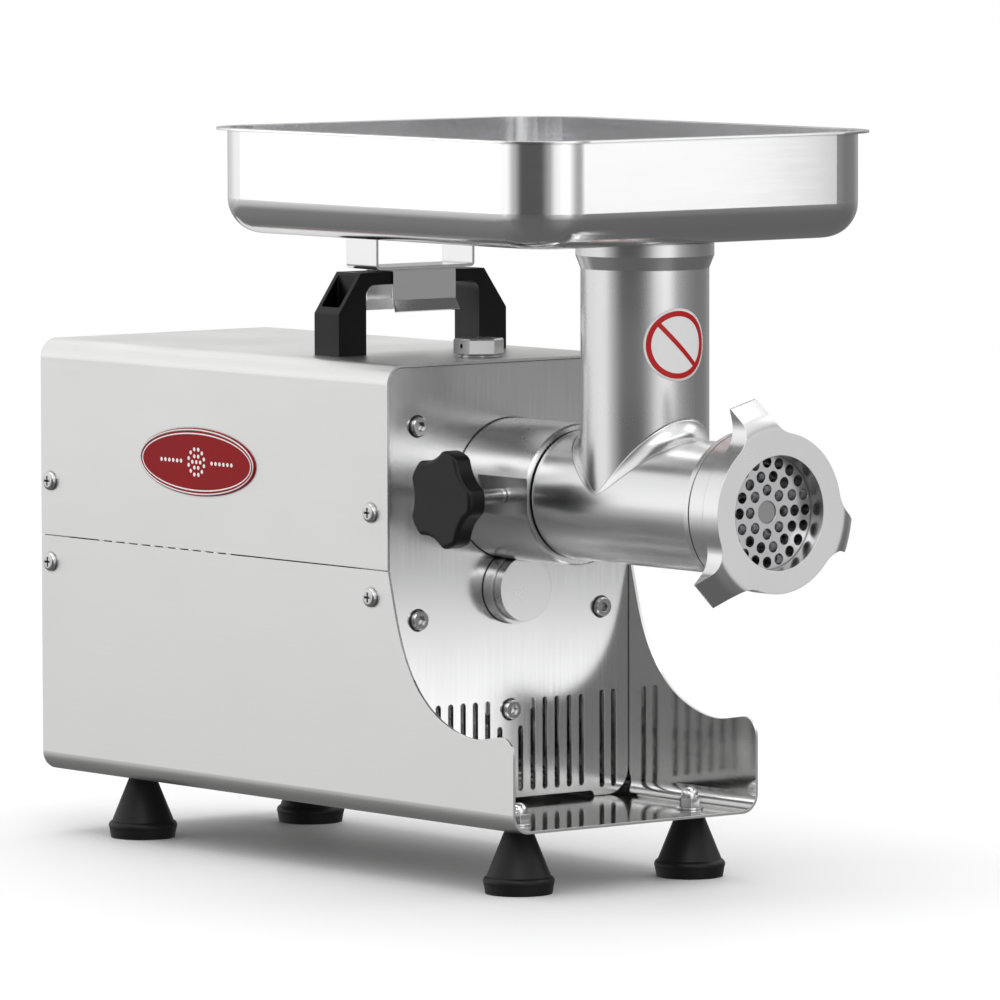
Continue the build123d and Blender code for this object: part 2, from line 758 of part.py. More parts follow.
with BuildPart() as output_gear:
    spur_gear(axis_z, gear_front_y, gear_width, output_teeth, output_module, -90)
    turned(axis_z, gear_front_y, gear_front_y + gear_width, gear_seat_radius, Mode.SUBTRACT)
    # lightening ring on both faces between the hub and the rim
    for y, direction in ((gear_front_y, -1), (gear_front_y + gear_width, 1)):
        with BuildSketch(frontal(y)):
            with Locations((0, axis_z)):
                Circle(35.0)
                Circle(24.0, mode=Mode.SUBTRACT)
        extrude(amount=direction * 5.0, mode=Mode.SUBTRACT)
    with BuildSketch(frontal(gear_front_y + gear_width)):
        with Locations((0, axis_z + gear_seat_radius)):
            Rectangle(key_width, 2 * key_depth)
    extrude(amount=gear_width, mode=Mode.SUBTRACT)
output_gear.part.label = "output_gear"
export_step(output_gear.part, "parts/output_gear.step")

with BuildPart() as output_key:
    with BuildSketch(level(axis_z + gear_seat_radius - key_depth)):
        with Locations((0, key_y)):
            SlotOverall(key_length, key_width, rotation=90)
    extrude(amount=2 * key_depth - 0.1)
output_key.part.label = "output_key"
export_step(output_key.part, "parts/output_key.step")

input_gear_front_y = front_y + 31.0
input_gear_width = 11.0
idler_bore = 9.0
with BuildPart() as intermediate_shaft:
    turned(idler_z, front_y - 7.5, gear_front_y - 1.0, 6.0 - run)
    spur_gear(idler_z, gear_front_y - 1.0, gear_width + 2.0, pinion_teeth, output_module,
              90 + 180 / pinion_teeth)
    turned(idler_z, gear_front_y + gear_width + 1.0, input_gear_front_y + input_gear_width, idler_bore)
    turned(idler_z, input_gear_front_y + input_gear_width, front_wall_y + 7.5, 6.0 - run)
intermediate_shaft.part.label = "intermediate_shaft"
export_step(intermediate_shaft.part, "parts/intermediate_shaft.step")

with BuildPart() as intermediate_gear:
    spur_gear(idler_z, input_gear_front_y, input_gear_width, idler_teeth, input_module, -90)
    turned(idler_z, input_gear_front_y, input_gear_front_y + input_gear_width, idler_bore, Mode.SUBTRACT)
    with BuildSketch(frontal(input_gear_front_y + input_gear_width)):
        with Locations((0, idler_z)):
            with PolarLocations(21.0, 6):
                Circle(5.0)
    extrude(amount=input_gear_width, mode=Mode.SUBTRACT)
intermediate_gear.part.label = "intermediate_gear"
export_step(intermediate_gear.part, "parts/intermediate_gear.step")

# ---- Motor ----

bell_depth = 22.0
core_length = 70.0
core_front_y = casting_rear_y + bell_depth
core_rear_y = core_front_y + core_length
motor_rear_y = core_rear_y + bell_depth
motor_bearing_width = 10.0
motor_bearing_ys = (casting_rear_y + 1.0, motor_rear_y - 11.0)
rotor_radius = 28.5
stator_bore = 29.2
motor_journal = 6.0


def motor_bell(y_front, y_wall, wall_side):
    """Cup-shaped end of the motor: a rim, an end wall with a bearing seat, and air windows."""
    with BuildPart() as bell:
        turned(motor_z, y_front, y_front + bell_depth, motor_radius)
        inner_front = y_front if wall_side > 0 else y_front + 5.0
        turned(motor_z, inner_front, inner_front + bell_depth - 5.0, motor_radius - 3.0, Mode.SUBTRACT)
        # posts around the through bolts and the hub of the bearing
        with BuildSketch(frontal(y_front + bell_depth)):
            with Locations(*motor_bolt_places):
                Circle(5.0)
            with Locations((0, motor_z)):
                Circle(20.0)
            with Locations(*motor_bolt_places):
                Circle(2.2, mode=Mode.SUBTRACT)
        extrude(amount=bell_depth)
        hub_y = y_wall - 13.0 if wall_side > 0 else y_wall + 13.0
        low, high = sorted((hub_y, y_front if wall_side > 0 else y_front + bell_depth))
        turned(motor_z, low, high, 20.0, Mode.SUBTRACT)
        turned(motor_z, y_front, y_front + bell_depth, 8.5, Mode.SUBTRACT)
        seat_front = motor_bearing_ys[1] if wall_side > 0 else motor_bearing_ys[0]
        seat_low, seat_high = (low, seat_front + 10.0) if wall_side > 0 else (seat_front, high)
        turned(motor_z, seat_low, seat_high, motor_bearing_radius, Mode.SUBTRACT)
        with BuildSketch(frontal(y_front + bell_depth)):
            with Locations((0, motor_z)):
                with PolarLocations(34.0, 6, start_angle=90):
                    Circle(6.0)
        extrude(amount=bell_depth, mode=Mode.SUBTRACT)
        # the bolts' holes run through the whole bell
        with BuildSketch(frontal(y_front + bell_depth)):
            with Locations(*motor_bolt_places):
                Circle(2.2)
        extrude(amount=bell_depth, mode=Mode.SUBTRACT)
    return bell.part


motor_front_bell = motor_bell(casting_rear_y, casting_rear_y, -1)
motor_front_bell.label = "motor_front_bell"
export_step(motor_front_bell, "parts/motor_front_bell.step")
motor_rear_bell = motor_bell(core_rear_y, motor_rear_y, 1)
motor_rear_bell.label = "motor_rear_bell"
export_step(motor_rear_bell, "parts/motor_rear_bell.step")

with BuildPart() as stator_core:
    with BuildSketch(frontal(core_rear_y)):
        with Locations((0, motor_z)):
            Circle(motor_radius)
            Circle(stator_bore, mode=Mode.SUBTRACT)
        with Locations(*motor_bolt_places):
            Circle(2.2, mode=Mode.SUBTRACT)
    extrude(amount=core_length)
stator_core.part.label = "stator_core"
export_step(stator_core.part, "parts/stator_core.step")

# rounded bundles of magnet wire that stand out at both ends of the stator core
with BuildPart() as stator_windings:
    for y, direction in ((core_front_y, 1), (core_rear_y, -1)):
        with BuildSketch(frontal(y)):
            with Locations((0, motor_z)):
                Circle(40.0)
                Circle(30.5, mode=Mode.SUBTRACT)
        extrude(amount=direction * 7.0)
    fillet(stator_windings.edges().filter_by(GeomType.CIRCLE).group_by(Axis.Y)[0], 2.0)
    fillet(stator_windings.edges().filter_by(GeomType.CIRCLE).group_by(Axis.Y)[-1], 2.0)
stator_windings.part.label = "stator_windings"
export_step(stator_windings.part, "parts/stator_windings.step")

with BuildPart() as motor_bearings:
    for y in motor_bearing_ys:
        add(ball_bearing(motor_z, y, motor_bearing_radius, motor_journal, motor_bearing_width))
motor_bearings.part.label = "motor_bearings"
export_step(motor_bearings.part, "parts/motor_bearings.step")

motor_bolt = socket_screw(2.0, motor_rear_y - casting_rear_y + 10.0, 3.5, 4.0, 3.0)
with BuildPart() as motor_bolts:
    for x, z in motor_bolt_places:
        seat = Plane(origin=(x, motor_rear_y, z), x_dir=(1, 0, 0), z_dir=(0, 1, 0))
        add(seat.location * motor_bolt)
motor_bolts.part.label = "motor_bolts"
export_step(motor_bolts.part, "parts/motor_bolts.step")

fan_y = motor_rear_y + 8.0
fan_hub_depth = 12.0
with BuildPart() as motor_shaft:
    spur_gear(motor_z, input_gear_front_y - 0.5, input_gear_width + 1.0, pinion_teeth, input_module,
              90 + 180 / pinion_teeth)
    turned(motor_z, input_gear_front_y + input_gear_width, core_front_y - 6.0, motor_journal - run)
    turned(motor_z, core_front_y - 6.0, core_rear_y + 6.0, 8.0)
    turned(motor_z, core_rear_y + 6.0, fan_y + fan_hub_depth, motor_journal - run)
motor_shaft.part.label = "motor_shaft"
export_step(motor_shaft.part, "parts/motor_shaft.step")

with BuildPart() as rotor_core:
    turned(motor_z, core_front_y, core_rear_y, rotor_radius)
    turned(motor_z, core_front_y - 4.0, core_rear_y + 4.0, 26.0)
    turned(motor_z, core_front_y - 4.0, core_rear_y + 4.0, 8.0, Mode.SUBTRACT)
rotor_core.part.label = "rotor_core"
export_step(rotor_core.part, "parts/rotor_core.step")

with BuildPart() as cooling_fan:
    turned(motor_z, fan_y, fan_y + 1.8, 44.0)
    turned(motor_z, fan_y, fan_y + fan_hub_depth, 11.0)
    with BuildSketch(frontal(fan_y + fan_hub_depth)):
        with Locations((0, motor_z)):
            with PolarLocations(26.5, 9):
                Rectangle(34.0, 1.6)
    extrude(amount=fan_hub_depth)
    turned(motor_z, fan_y, fan_y + fan_hub_depth, motor_journal - run, Mode.SUBTRACT)
cooling_fan.part.label = "cooling_fan"
export_step(cooling_fan.part, "parts/cooling_fan.step")

# ---- Electrical pieces ----

with BuildPart() as run_capacitor:
    with BuildSketch(frontal(rear_y - 40.0)):
        with Locations((40.0, 215.0)):
            Circle(19.0)
    extrude(amount=76.0)
    fillet(run_capacitor.edges().filter_by(GeomType.CIRCLE), 1.5)
    with BuildSketch(frontal(rear_y - 40.0)):
        with Locations((34.0, 215.0), (46.0, 215.0)):
            Rectangle(0.8, 6.3)
    extrude(amount=-8.0)
run_capacitor.part.label = "run_capacitor"
export_step(run_capacitor.part, "parts/run_capacitor.step")

# strap around the capacitor, with a foot on the cover's right-hand wall
with BuildPart() as capacitor_clamp:
    with BuildSketch(frontal(rear_y - 68.0)):
        with Locations((40.0, 215.0)):
            Circle(20.6)
        with Locations((71.6, 229.0)):
            Rectangle(23.8, 1.6)
        with Locations((82.7, 222.0)):
            Rectangle(1.6, 15.6)
        with Locations((56.0, 229.0)):
            Rectangle(10.0, 1.6)
        with Locations((40.0, 215.0)):
            Circle(19.05, mode=Mode.SUBTRACT)
    extrude(amount=18.0)
capacitor_clamp.part.label = "capacitor_clamp"
export_step(capacitor_clamp.part, "parts/capacitor_clamp.step")

# appliance inlet: flange outside the rear panel, shroud and three pins inside it
with BuildPart() as power_inlet:
    with BuildSketch(frontal(panel_face_y)):
        with Locations((inlet_x, inlet_z)):
            RectangleRounded(50.0, 23.0, 6.0)
        with Locations((inlet_x - 20.0, inlet_z), (inlet_x + 20.0, inlet_z)):
            Circle(1.7, mode=Mode.SUBTRACT)
    extrude(amount=panel_face_y - inlet_face_y)
    with BuildSketch(frontal(panel_face_y)):
        with Locations((inlet_x, inlet_z)):
            RectangleRounded(27.6, 20.0, 3.0)
    extrude(amount=20.0)
    with BuildSketch(frontal(panel_face_y - 16.0)):
        with Locations((inlet_x, inlet_z)):
            Rectangle(24.4, 16.6)
        chamfer(vertices().group_by(Axis.Y)[-1], 4.0)
    extrude(amount=-20.0, mode=Mode.SUBTRACT)
    pin_places = [(inlet_x - 7.0, inlet_z - 2.0), (inlet_x, inlet_z + 2.0), (inlet_x + 7.0, inlet_z - 2.0)]
    with BuildSketch(frontal(panel_face_y - 2.0)):
        with Locations(*pin_places):
            Rectangle(2.0, 4.0)
    extrude(amount=14.1)
    with BuildSketch(frontal(panel_face_y - 20.0)):
        with Locations(*pin_places):
            Rectangle(0.8, 6.3)
    extrude(amount=9.0)
power_inlet.part.label = "power_inlet"
export_step(power_inlet.part, "parts/power_inlet.step")

inlet_screw = pan_screw(1.5, 9.0, 2.8, 1.6, 2.8)
with BuildPart() as inlet_screws:
    for x in (inlet_x - 20.0, inlet_x + 20.0):
        seat = Plane(origin=(x, inlet_face_y, inlet_z), x_dir=(1, 0, 0), z_dir=(0, 1, 0))
        add(seat.location * inlet_screw)
inlet_screws.part.label = "inlet_screws"
export_step(inlet_screws.part, "parts/inlet_screws.step")

# thermal overload breaker: threaded neck and nut outside the panel, button in its bore
with BuildPart() as breaker_body:
    with BuildSketch(frontal(panel_face_y - plate_thickness)):
        with Locations((breaker_x, inlet_z)):
            RectangleRounded(17.0, 26.0, 1.5)
    extrude(amount=30.0)
    with BuildSketch(frontal(panel_face_y - plate_thickness)):
        with Locations((breaker_x, inlet_z)):
            Circle(6.0)
    extrude(amount=-(plate_thickness + 3.8))
    with BuildSketch(frontal(panel_face_y)):
        with Locations((breaker_x, inlet_z)):
            RegularPolygon(8.0, 6, major_radius=False)
    extrude(amount=-2.5)
    with BuildSketch(frontal(panel_face_y + 3.8)):
        with Locations((breaker_x, inlet_z)):
            Circle(4.0)
    extrude(amount=14.0, mode=Mode.SUBTRACT)
breaker_body.part.label = "breaker_body"
export_step(breaker_body.part, "parts/breaker_body.step")

with BuildPart() as reset_button:
    with BuildSketch(frontal(panel_face_y - 7.5)):
        with Locations((breaker_x, inlet_z)):
            Circle(3.9)
    extrude(amount=-12.0)
    fillet(reset_button.edges().group_by(Axis.Y)[-1], 0.8)
reset_button.part.label = "reset_button"
export_step(reset_button.part, "parts/reset_button.step")

# switch: frame with a sunk well on the outside, contact block inside the cover
rocker_pivot_x = body_width / 2 - 1.0
with BuildPart() as switch_housing:
    with BuildSketch(side(body_width / 2)):
        with Locations((switch_y, switch_z)):
            RectangleRounded(46.0, 30.0, 3.0)
    extrude(amount=2.6)
    fillet(switch_housing.faces().sort_by(Axis.X)[-1].edges(), 1.0)
    with BuildSketch(side(body_width / 2)):
        with Locations((switch_y, switch_z)):
            Rectangle(37.6, 21.6)
    extrude(amount=-26.0)
    with BuildSketch(side(body_width / 2 - 8.0)):
        with Locations((switch_y, switch_z)):
            Rectangle(31.6, 16.6)
    extrude(amount=20.0, mode=Mode.SUBTRACT)
    with BuildSketch(side(body_width / 2 - 26.0)):
        with Locations((switch_y, switch_z)):
            with GridLocations(12.0, 12.0, 3, 2):
                Rectangle(0.8, 6.3)
    extrude(amount=-8.0)
switch_housing.part.label = "switch_housing"
export_step(switch_housing.part, "parts/switch_housing.step")

with BuildPart() as rocker:
    with BuildSketch(level(switch_z - 8.0)):
        with BuildLine():
            Polyline(
                (rocker_pivot_x - 4.0, switch_y + 7.0),
                (rocker_pivot_x - 1.0, switch_y + 14.8),
                (rocker_pivot_x + 5.6, switch_y + 14.0),
            )
            ThreePointArc(
                (rocker_pivot_x + 5.6, switch_y + 14.0),
                (rocker_pivot_x + 3.4, switch_y),
                (rocker_pivot_x + 5.6, switch_y - 14.0),
            )
            Polyline(
                (rocker_pivot_x + 5.6, switch_y - 14.0),
                (rocker_pivot_x - 1.0, switch_y - 14.8),
                (rocker_pivot_x - 4.0, switch_y - 7.0),
                (rocker_pivot_x - 4.0, switch_y + 7.0),
            )
        make_face()
    extrude(amount=16.0)
rocker.part.label = "rocker"
export_step(rocker.part, "parts/rocker.step")

# ---- Grinding head ----

spigot_radius = 30.0
thread_radius = 38.4
thread_rear_y = front_y - 197.0
bushing_radius = 18.0
journal_bore = 14.0
with BuildPart() as grinder_head:
    turned(axis_z, barrel_front_y, collar_front_y - 1.2, 34.8)
    turned(axis_z, collar_front_y - 1.2, socket_floor_y, spigot_radius)
    turned(axis_z, barrel_front_y, thread_rear_y, thread_radius)
    chamfer(grinder_head.faces().sort_by(Axis.Y)[0].outer_wire().edges(), 1.0)
    # feed neck with its flared mouth under the tray
    with BuildSketch(level(axis_z)):
        with Locations((0, neck_y)):
            Circle(neck_radius)
    extrude(amount=neck_top_z - axis_z)
    mouth_z = neck_top_z - 7.0
    with BuildSketch(level(mouth_z)):
        with Locations((0, neck_y)):
            Circle(37.0)
    extrude(amount=neck_top_z - mouth_z)
    with BuildSketch(level(mouth_z)):
        with Locations((0, neck_y)):
            Circle(37.0)
    extrude(amount=-7.0, taper=math.degrees(math.atan(2.7 / 7.0)))
    # annular grooves of the ring nut's thread
    for turn in range(5):
        groove_y = thread_rear_y - 3.0 - 2.6 * turn
        with BuildSketch(frontal(groove_y)):
            with Locations((0, axis_z)):
                Circle(thread_radius + 1.0)
                Circle(thread_radius - 0.8, mode=Mode.SUBTRACT)
        extrude(amount=1.2, mode=Mode.SUBTRACT)
    # chamber of the auger, throat, seat of the grinding plate and seat of the bushing
    turned(axis_z, barrel_front_y - 1, front_y - 66.5, barrel_bore, Mode.SUBTRACT)
    turned(axis_z, barrel_front_y - 1, plate_seat_y, 35.05, Mode.SUBTRACT)
    turned(axis_z, front_y - 66.5, socket_floor_y, bushing_radius, Mode.SUBTRACT)
    with BuildSketch(level(axis_z)):
        with Locations((0, neck_y)):
            Circle(30.7)
    extrude(amount=neck_top_z - axis_z, mode=Mode.SUBTRACT)
    # groove of the pin that keeps the grinding plate from turning
    pin_radius = 2.0
    pin_z = axis_z + 35.2
    turned(pin_z, barrel_front_y, plate_seat_y + 4.0, pin_radius, Mode.SUBTRACT)
grinder_head.part.label = "grinder_head"
export_step(grinder_head.part, "parts/grinder_head.step")

with BuildPart() as plate_key_pin:
    turned(pin_z, barrel_front_y + 0.4, plate_seat_y + 4.0, pin_radius)
plate_key_pin.part.label = "plate_key_pin"
export_step(plate_key_pin.part, "parts/plate_key_pin.step")

with BuildPart() as auger_bushing:
    turned(axis_z, front_y - 66.5, socket_floor_y, bushing_radius)
    turned(axis_z, front_y - 66.5, socket_floor_y, journal_bore, Mode.SUBTRACT)
auger_bushing.part.label = "auger_bushing"
export_step(auger_bushing.part, "parts/auger_bushing.step")

# round safety label, wrapped on the front of the neck
label_z = 294.0
with BuildPart() as neck_label:
    with BuildSketch(frontal(neck_y)):
        with Locations((0, label_z)):
            Circle(19.3)
    extrude(amount=neck_radius + 5)
    with BuildSketch(level(label_z - 30)):
        with Locations((0, neck_y)):
            Circle(neck_radius + 0.25)
            Circle(neck_radius, mode=Mode.SUBTRACT)
    extrude(amount=60, mode=Mode.INTERSECT)
neck_label.part.label = "neck_label"
export_step(neck_label.part, "parts/neck_label.step")

# auger: square tang, journal, tapered core with a rising flight, square for the knife, stud
flight_pitch = 38.0
flight_front_y = front_y - 198.0
flight_rear_y = front_y - 67.5
flight_radius = 30.0
flight_length = flight_rear_y - flight_front_y - 12.0
helix_radius = 14.0
tang_square = 14.0
knife_square = 13.0
knife_front_y = plate_seat_y + 0.1
with BuildPart() as auger:
    with BuildSketch(frontal(front_y - 3.0)):
        with Locations((0, axis_z)):
            Rectangle(tang_square, tang_square)
    extrude(amount=20.0)
    turned(axis_z, flight_rear_y, front_y - 22.5, journal_bore - run)
    turned(axis_z, flight_rear_y - 4.0, flight_rear_y, 28.5)
    with BuildSketch(frontal(flight_rear_y - 3.0)):
        with Locations((0, axis_z)):
            Circle(13.0)
    extrude(amount=flight_rear_y - 3.0 - flight_front_y, taper=-2.5)
    with BuildLine() as flight_path:
        Helix(flight_pitch, flight_length, helix_radius,
              center=(0, flight_rear_y - 6.0, axis_z), direction=(0, -1, 0))
    path_start = flight_path.line @ 0
    outwards = path_start - Vector(0, path_start.Y, axis_z)
    with BuildSketch(Plane(origin=path_start, x_dir=outwards, z_dir=flight_path.line % 0)):
        with BuildLine():
            reach = flight_radius - helix_radius
            Polyline((-4.0, -3.5), (reach, -1.6), (reach, 1.6), (-4.0, 3.5), close=True)
        make_face()
    sweep(is_frenet=True)
    with BuildSketch(frontal(flight_front_y)):
        with Locations((0, axis_z)):
            Rectangle(knife_square, knife_square)
    extrude(amount=flight_front_y - knife_front_y)
    turned(axis_z, front_y - 213.6, knife_front_y, 6.0 - run)
auger.part.label = "auger"
export_step(auger.part, "parts/auger.step")

# four-bladed knife with hooked cutting edges, driven by the auger's square
knife_thickness = 7.0
with BuildSketch() as blade:
    with BuildLine():
        Line((9.0, -2.0), (29.0, -6.5))
        ThreePointArc((29.0, -6.5), (29.7, -3.5), (29.9, -0.5))
        ThreePointArc((29.9, -0.5), (20.0, 4.2), (8.0, 9.0))
        Line((8.0, 9.0), (9.0, -2.0))
    make_face()
with BuildPart() as knife:
    with BuildSketch(frontal(knife_front_y + knife_thickness)):
        with Locations((0, axis_z)):
            Circle(12.5)
            with PolarLocations(0, 4, start_angle=20):
                add(blade.sketch)
            Rectangle(knife_square + 0.1, knife_square + 0.1, mode=Mode.SUBTRACT)
    extrude(amount=knife_thickness)
knife.part.label = "knife"
export_step(knife.part, "parts/knife.step")

# perforated plate, 70 mm across, with a notch for the key pin
plate_rear_y = plate_seat_y - 0.05
plate_width = 6.0
hole_rings = ((11.6, 8), (19.0, 14), (26.4, 20))
with BuildPart() as grinding_plate:
    with BuildSketch(frontal(plate_rear_y)):
        with Locations((0, axis_z)):
            Circle(35.0)
            Circle(6.0 + run, mode=Mode.SUBTRACT)
            for radius, count in hole_rings:
                with PolarLocations(radius, count):
                    Circle(3.0, mode=Mode.SUBTRACT)
        with Locations((0, pin_z)):
            Circle(pin_radius + 0.15, mode=Mode.SUBTRACT)
    extrude(amount=plate_width)
grinding_plate.part.label = "grinding_plate"
export_step(grinding_plate.part, "parts/grinding_plate.step")

# ring nut with three swept grips
ring_skirt_radius = 42.0
ring_rear_y = front_y - 195.0
ring_flange_y = front_y - 212.0
ring_lip_y = front_y - 214.1
outlet_radius = 30.4
grip_reach = 59.5
grip_width = 18.0
grip_angles = (105, 225, 345)
fall_start = 44.0
fall_end = 62.0
fall_bend = 12.0
grip_slope = math.radians(45)


def fall_point(turn):
    """A point of the bend between the ring's flat front and its sloped grips, in Y and Z."""
    return (
        ring_front_y + fall_bend * (1 - math.cos(turn)),
        axis_z + fall_start + fall_bend * math.sin(turn),
    )


with BuildPart() as ring_nut:
    turned(axis_z, ring_front_y, ring_rear_y, ring_skirt_radius)
    chamfer(ring_nut.faces().sort_by(Axis.Y)[-1].edges(), 0.8)
    with BuildSketch(frontal(ring_flange_y)) as ring_outline:
        with Locations((0, axis_z)):
            Circle(42.5)
            for angle in grip_angles:
                with PolarLocations(0, 1, start_angle=angle):
                    with Locations((grip_reach / 2, 0)):
                        Rectangle(grip_reach, grip_width)
        centre = Vector(0, axis_z)
        inner_corners = ring_outline.vertices().filter_by(
            lambda v: (Vector(v.X, v.Y) - centre).length < 43.0
        )
        fillet(inner_corners, 17.0)
    extrude(amount=ring_flange_y - ring_front_y)
    # the front of each grip curves away from the flat face and runs straight to a thin tip
    with BuildSketch(side(0)):
        with BuildLine():
            ThreePointArc(fall_point(0.0), fall_point(grip_slope / 2), fall_point(grip_slope))
            Polyline(
                fall_point(grip_slope),
                (
                    fall_point(grip_slope)[0] + axis_z + fall_end - fall_point(grip_slope)[1],
                    axis_z + fall_end,
                ),
                (ring_front_y - 1.0, axis_z + fall_end),
                (ring_front_y - 1.0, axis_z + fall_start),
                fall_point(0.0),
            )
        make_face()
    revolve(axis=Axis((0, 0, axis_z), (0, 1, 0)), mode=Mode.SUBTRACT)
    # sight groove behind the rear bead
    with BuildSketch(frontal(ring_rear_y - 4.4)):
        with Locations((0, axis_z)):
            Circle(ring_skirt_radius + 2.0)
            Circle(ring_skirt_radius - 0.6, mode=Mode.SUBTRACT)
    extrude(amount=0.9, mode=Mode.SUBTRACT)
    turned(axis_z, ring_lip_y, ring_rear_y, thread_radius + 0.3, Mode.SUBTRACT)
    turned(axis_z, ring_front_y, ring_lip_y, outlet_radius, Mode.SUBTRACT)
ring_nut.part.label = "ring_nut"
export_step(ring_nut.part, "parts/ring_nut.step")

# ---- Head clamp ----

pad_tip_x = -30.06
pad_thickness = 3.0
stud_tip_x = pad_tip_x - pad_thickness
knob_hub_x = -62.0
knob_lobe_x = -70.0
knob_face_x = -81.0
knob_radius = 26.6
hollow_radius = 22.0
hollow_depth = 4.4
clamp_plane = Plane(origin=(0, clamp_y, axis_z), x_dir=(0, -1, 0), z_dir=(-1, 0, 0))

with BuildPart() as clamp_pad:
    with BuildSketch(clamp_plane.offset(-pad_tip_x)):
        Circle(3.95)
    extrude(amount=pad_thickness)
clamp_pad.part.label = "clamp_pad"
export_step(clamp_pad.part, "parts/clamp_pad.step")

with BuildPart() as clamp_stud:
    with BuildSketch(clamp_plane.offset(-stud_tip_x)):
        Circle(4.0 - thread_fit)
    extrude(amount=stud_tip_x - knob_face_x - 4.0)
    chamfer(clamp_stud.edges().group_by(Axis.X)[-1], 0.6)
    # annular grooves of the thread between the collar and the knob
    groove_pitch = 1.25
    groove_count = 18
    for turn in range(groove_count):
        with BuildSketch(clamp_plane.offset(-knob_hub_x - 1.2 - turn * groove_pitch)):
            Circle(4.2)
            Circle(3.4, mode=Mode.SUBTRACT)
        extrude(amount=0.55, mode=Mode.SUBTRACT)
clamp_stud.part.label = "clamp_stud"
export_step(clamp_stud.part, "parts/clamp_stud.step")

with BuildPart() as clamp_knob:
    with BuildSketch(clamp_plane.offset(-knob_lobe_x)) as knob_outline:
        Circle(knob_radius)
        with PolarLocations(knob_radius + hollow_radius - hollow_depth, 5, start_angle=36):
            Circle(hollow_radius, mode=Mode.SUBTRACT)
        fillet(knob_outline.vertices(), 5.0)
    extrude(amount=knob_lobe_x - knob_face_x)
    fillet(clamp_knob.edges().group_by(Axis.X)[0], 2.5)
    fillet(clamp_knob.edges().group_by(Axis.X)[-1], 1.0)
    with BuildSketch(clamp_plane.offset(-knob_lobe_x)):
        Circle(12.5)
    extrude(amount=knob_lobe_x - knob_hub_x, taper=8, dir=(1, 0, 0))
    with BuildSketch(clamp_plane.offset(-knob_hub_x)):
        Circle(4.0 - thread_fit)
    extrude(amount=knob_hub_x - knob_face_x - 4.0, mode=Mode.SUBTRACT)
clamp_knob.part.label = "clamp_knob"
export_step(clamp_knob.part, "parts/clamp_knob.step")

# ---- Tray ----

tray_width = 251.3
tray_length = 298.7
rim_width = 6.0
rim_corner = 39.0
tray_sheet = 1.2
wall_corner = rim_corner - rim_width
spout_radius = 30.3
with BuildPart() as tray:
    with BuildSketch(level(tray_bottom_z)):
        with Locations((0, tray_y)):
            RectangleRounded(tray_width - 2 * rim_width, tray_length - 2 * rim_width, wall_corner)
    extrude(amount=tray_top_z - tray_bottom_z)
    fillet(tray.faces().sort_by(Axis.Z)[0].edges(), 19.0)
    offset(amount=-tray_sheet, openings=tray.faces().sort_by(Axis.Z)[-1])
    with BuildSketch(level(tray_top_z)):
        with Locations((0, tray_y)):
            RectangleRounded(tray_width, tray_length, rim_corner)
            RectangleRounded(tray_width - 2 * rim_width - 1, tray_length - 2 * rim_width - 1,
                             wall_corner - 0.5, mode=Mode.SUBTRACT)
    extrude(amount=-tray_sheet)
    with BuildSketch(level(tray_bottom_z)):
        with Locations((0, neck_y)):
            Circle(spout_radius)
    extrude(amount=tray_sheet, mode=Mode.SUBTRACT)
tray.part.label = "tray"
export_step(tray.part, "parts/tray.step")

spout_length = 58.0
throat_radius = spout_radius - tray_sheet
tray_floor_z = tray_bottom_z + tray_sheet
with BuildPart() as tray_spout:
    with BuildSketch(level(tray_floor_z + 1.0)):
        with Locations((0, neck_y)):
            Circle(spout_radius)
    extrude(amount=-spout_length)
    with BuildSketch(level(tray_floor_z)):
        with Locations((0, neck_y)):
            Circle(spout_radius + 3.5)
    extrude(amount=1.0)
    with BuildSketch(level(tray_floor_z + 1.0)):
        with Locations((0, neck_y)):
            Circle(throat_radius)
    extrude(amount=-spout_length, mode=Mode.SUBTRACT)
tray_spout.part.label = "tray_spout"
export_step(tray_spout.part, "parts/tray_spout.step")

# strip bent to a U that carries the tray above the handle
bracket_length = 68.6
bracket_width = 26.5
bracket_sheet = 1.5
clip_sheet = 1.2
clip_top_z = handle_top_z + 0.2 + clip_sheet
with BuildPart() as tray_bracket:
    with BuildSketch(frontal(handle_y + bracket_width / 2)):
        with Locations((0, (clip_top_z + tray_bottom_z) / 2)):
            Rectangle(bracket_length, tray_bottom_z - clip_top_z)
        fillet(vertices().group_by(Axis.Y)[0], 2.5)
    extrude(amount=bracket_width)
    open_faces = tray_bracket.faces().filter_by(Axis.Y) + tray_bracket.faces().sort_by(Axis.Z)[-1:]
    offset(amount=-bracket_sheet, openings=open_faces)
tray_bracket.part.label = "tray_bracket"
export_step(tray_bracket.part, "parts/tray_bracket.step")

# spring clip that snaps over the grip, with flared lips
clip_length = 43.5
clip_gap = handle_width / 2 + 0.35
with BuildPart() as tray_clip:
    with BuildSketch(Plane.YZ):
        for s in (-1, 1):
            with BuildLine():
                Polyline(
                    (handle_y, clip_top_z),
                    (handle_y + s * (clip_gap + clip_sheet), clip_top_z),
                    (handle_y + s * (clip_gap + clip_sheet), clip_top_z - 17.0),
                    (handle_y + s * (clip_gap + clip_sheet + 3.6), clip_top_z - 23.0),
                    (handle_y + s * (clip_gap + 2.5), clip_top_z - 23.6),
                    (handle_y + s * clip_gap, clip_top_z - 17.3),
                    (handle_y + s * clip_gap, clip_top_z - clip_sheet),
                    (handle_y, clip_top_z - clip_sheet),
                    close=True,
                )
            make_face()
    extrude(amount=clip_length / 2, both=True)
tray_clip.part.label = "tray_clip"
export_step(tray_clip.part, "parts/tray_clip.step")
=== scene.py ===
import json
import math

import bpy
from mathutils import Matrix, Vector


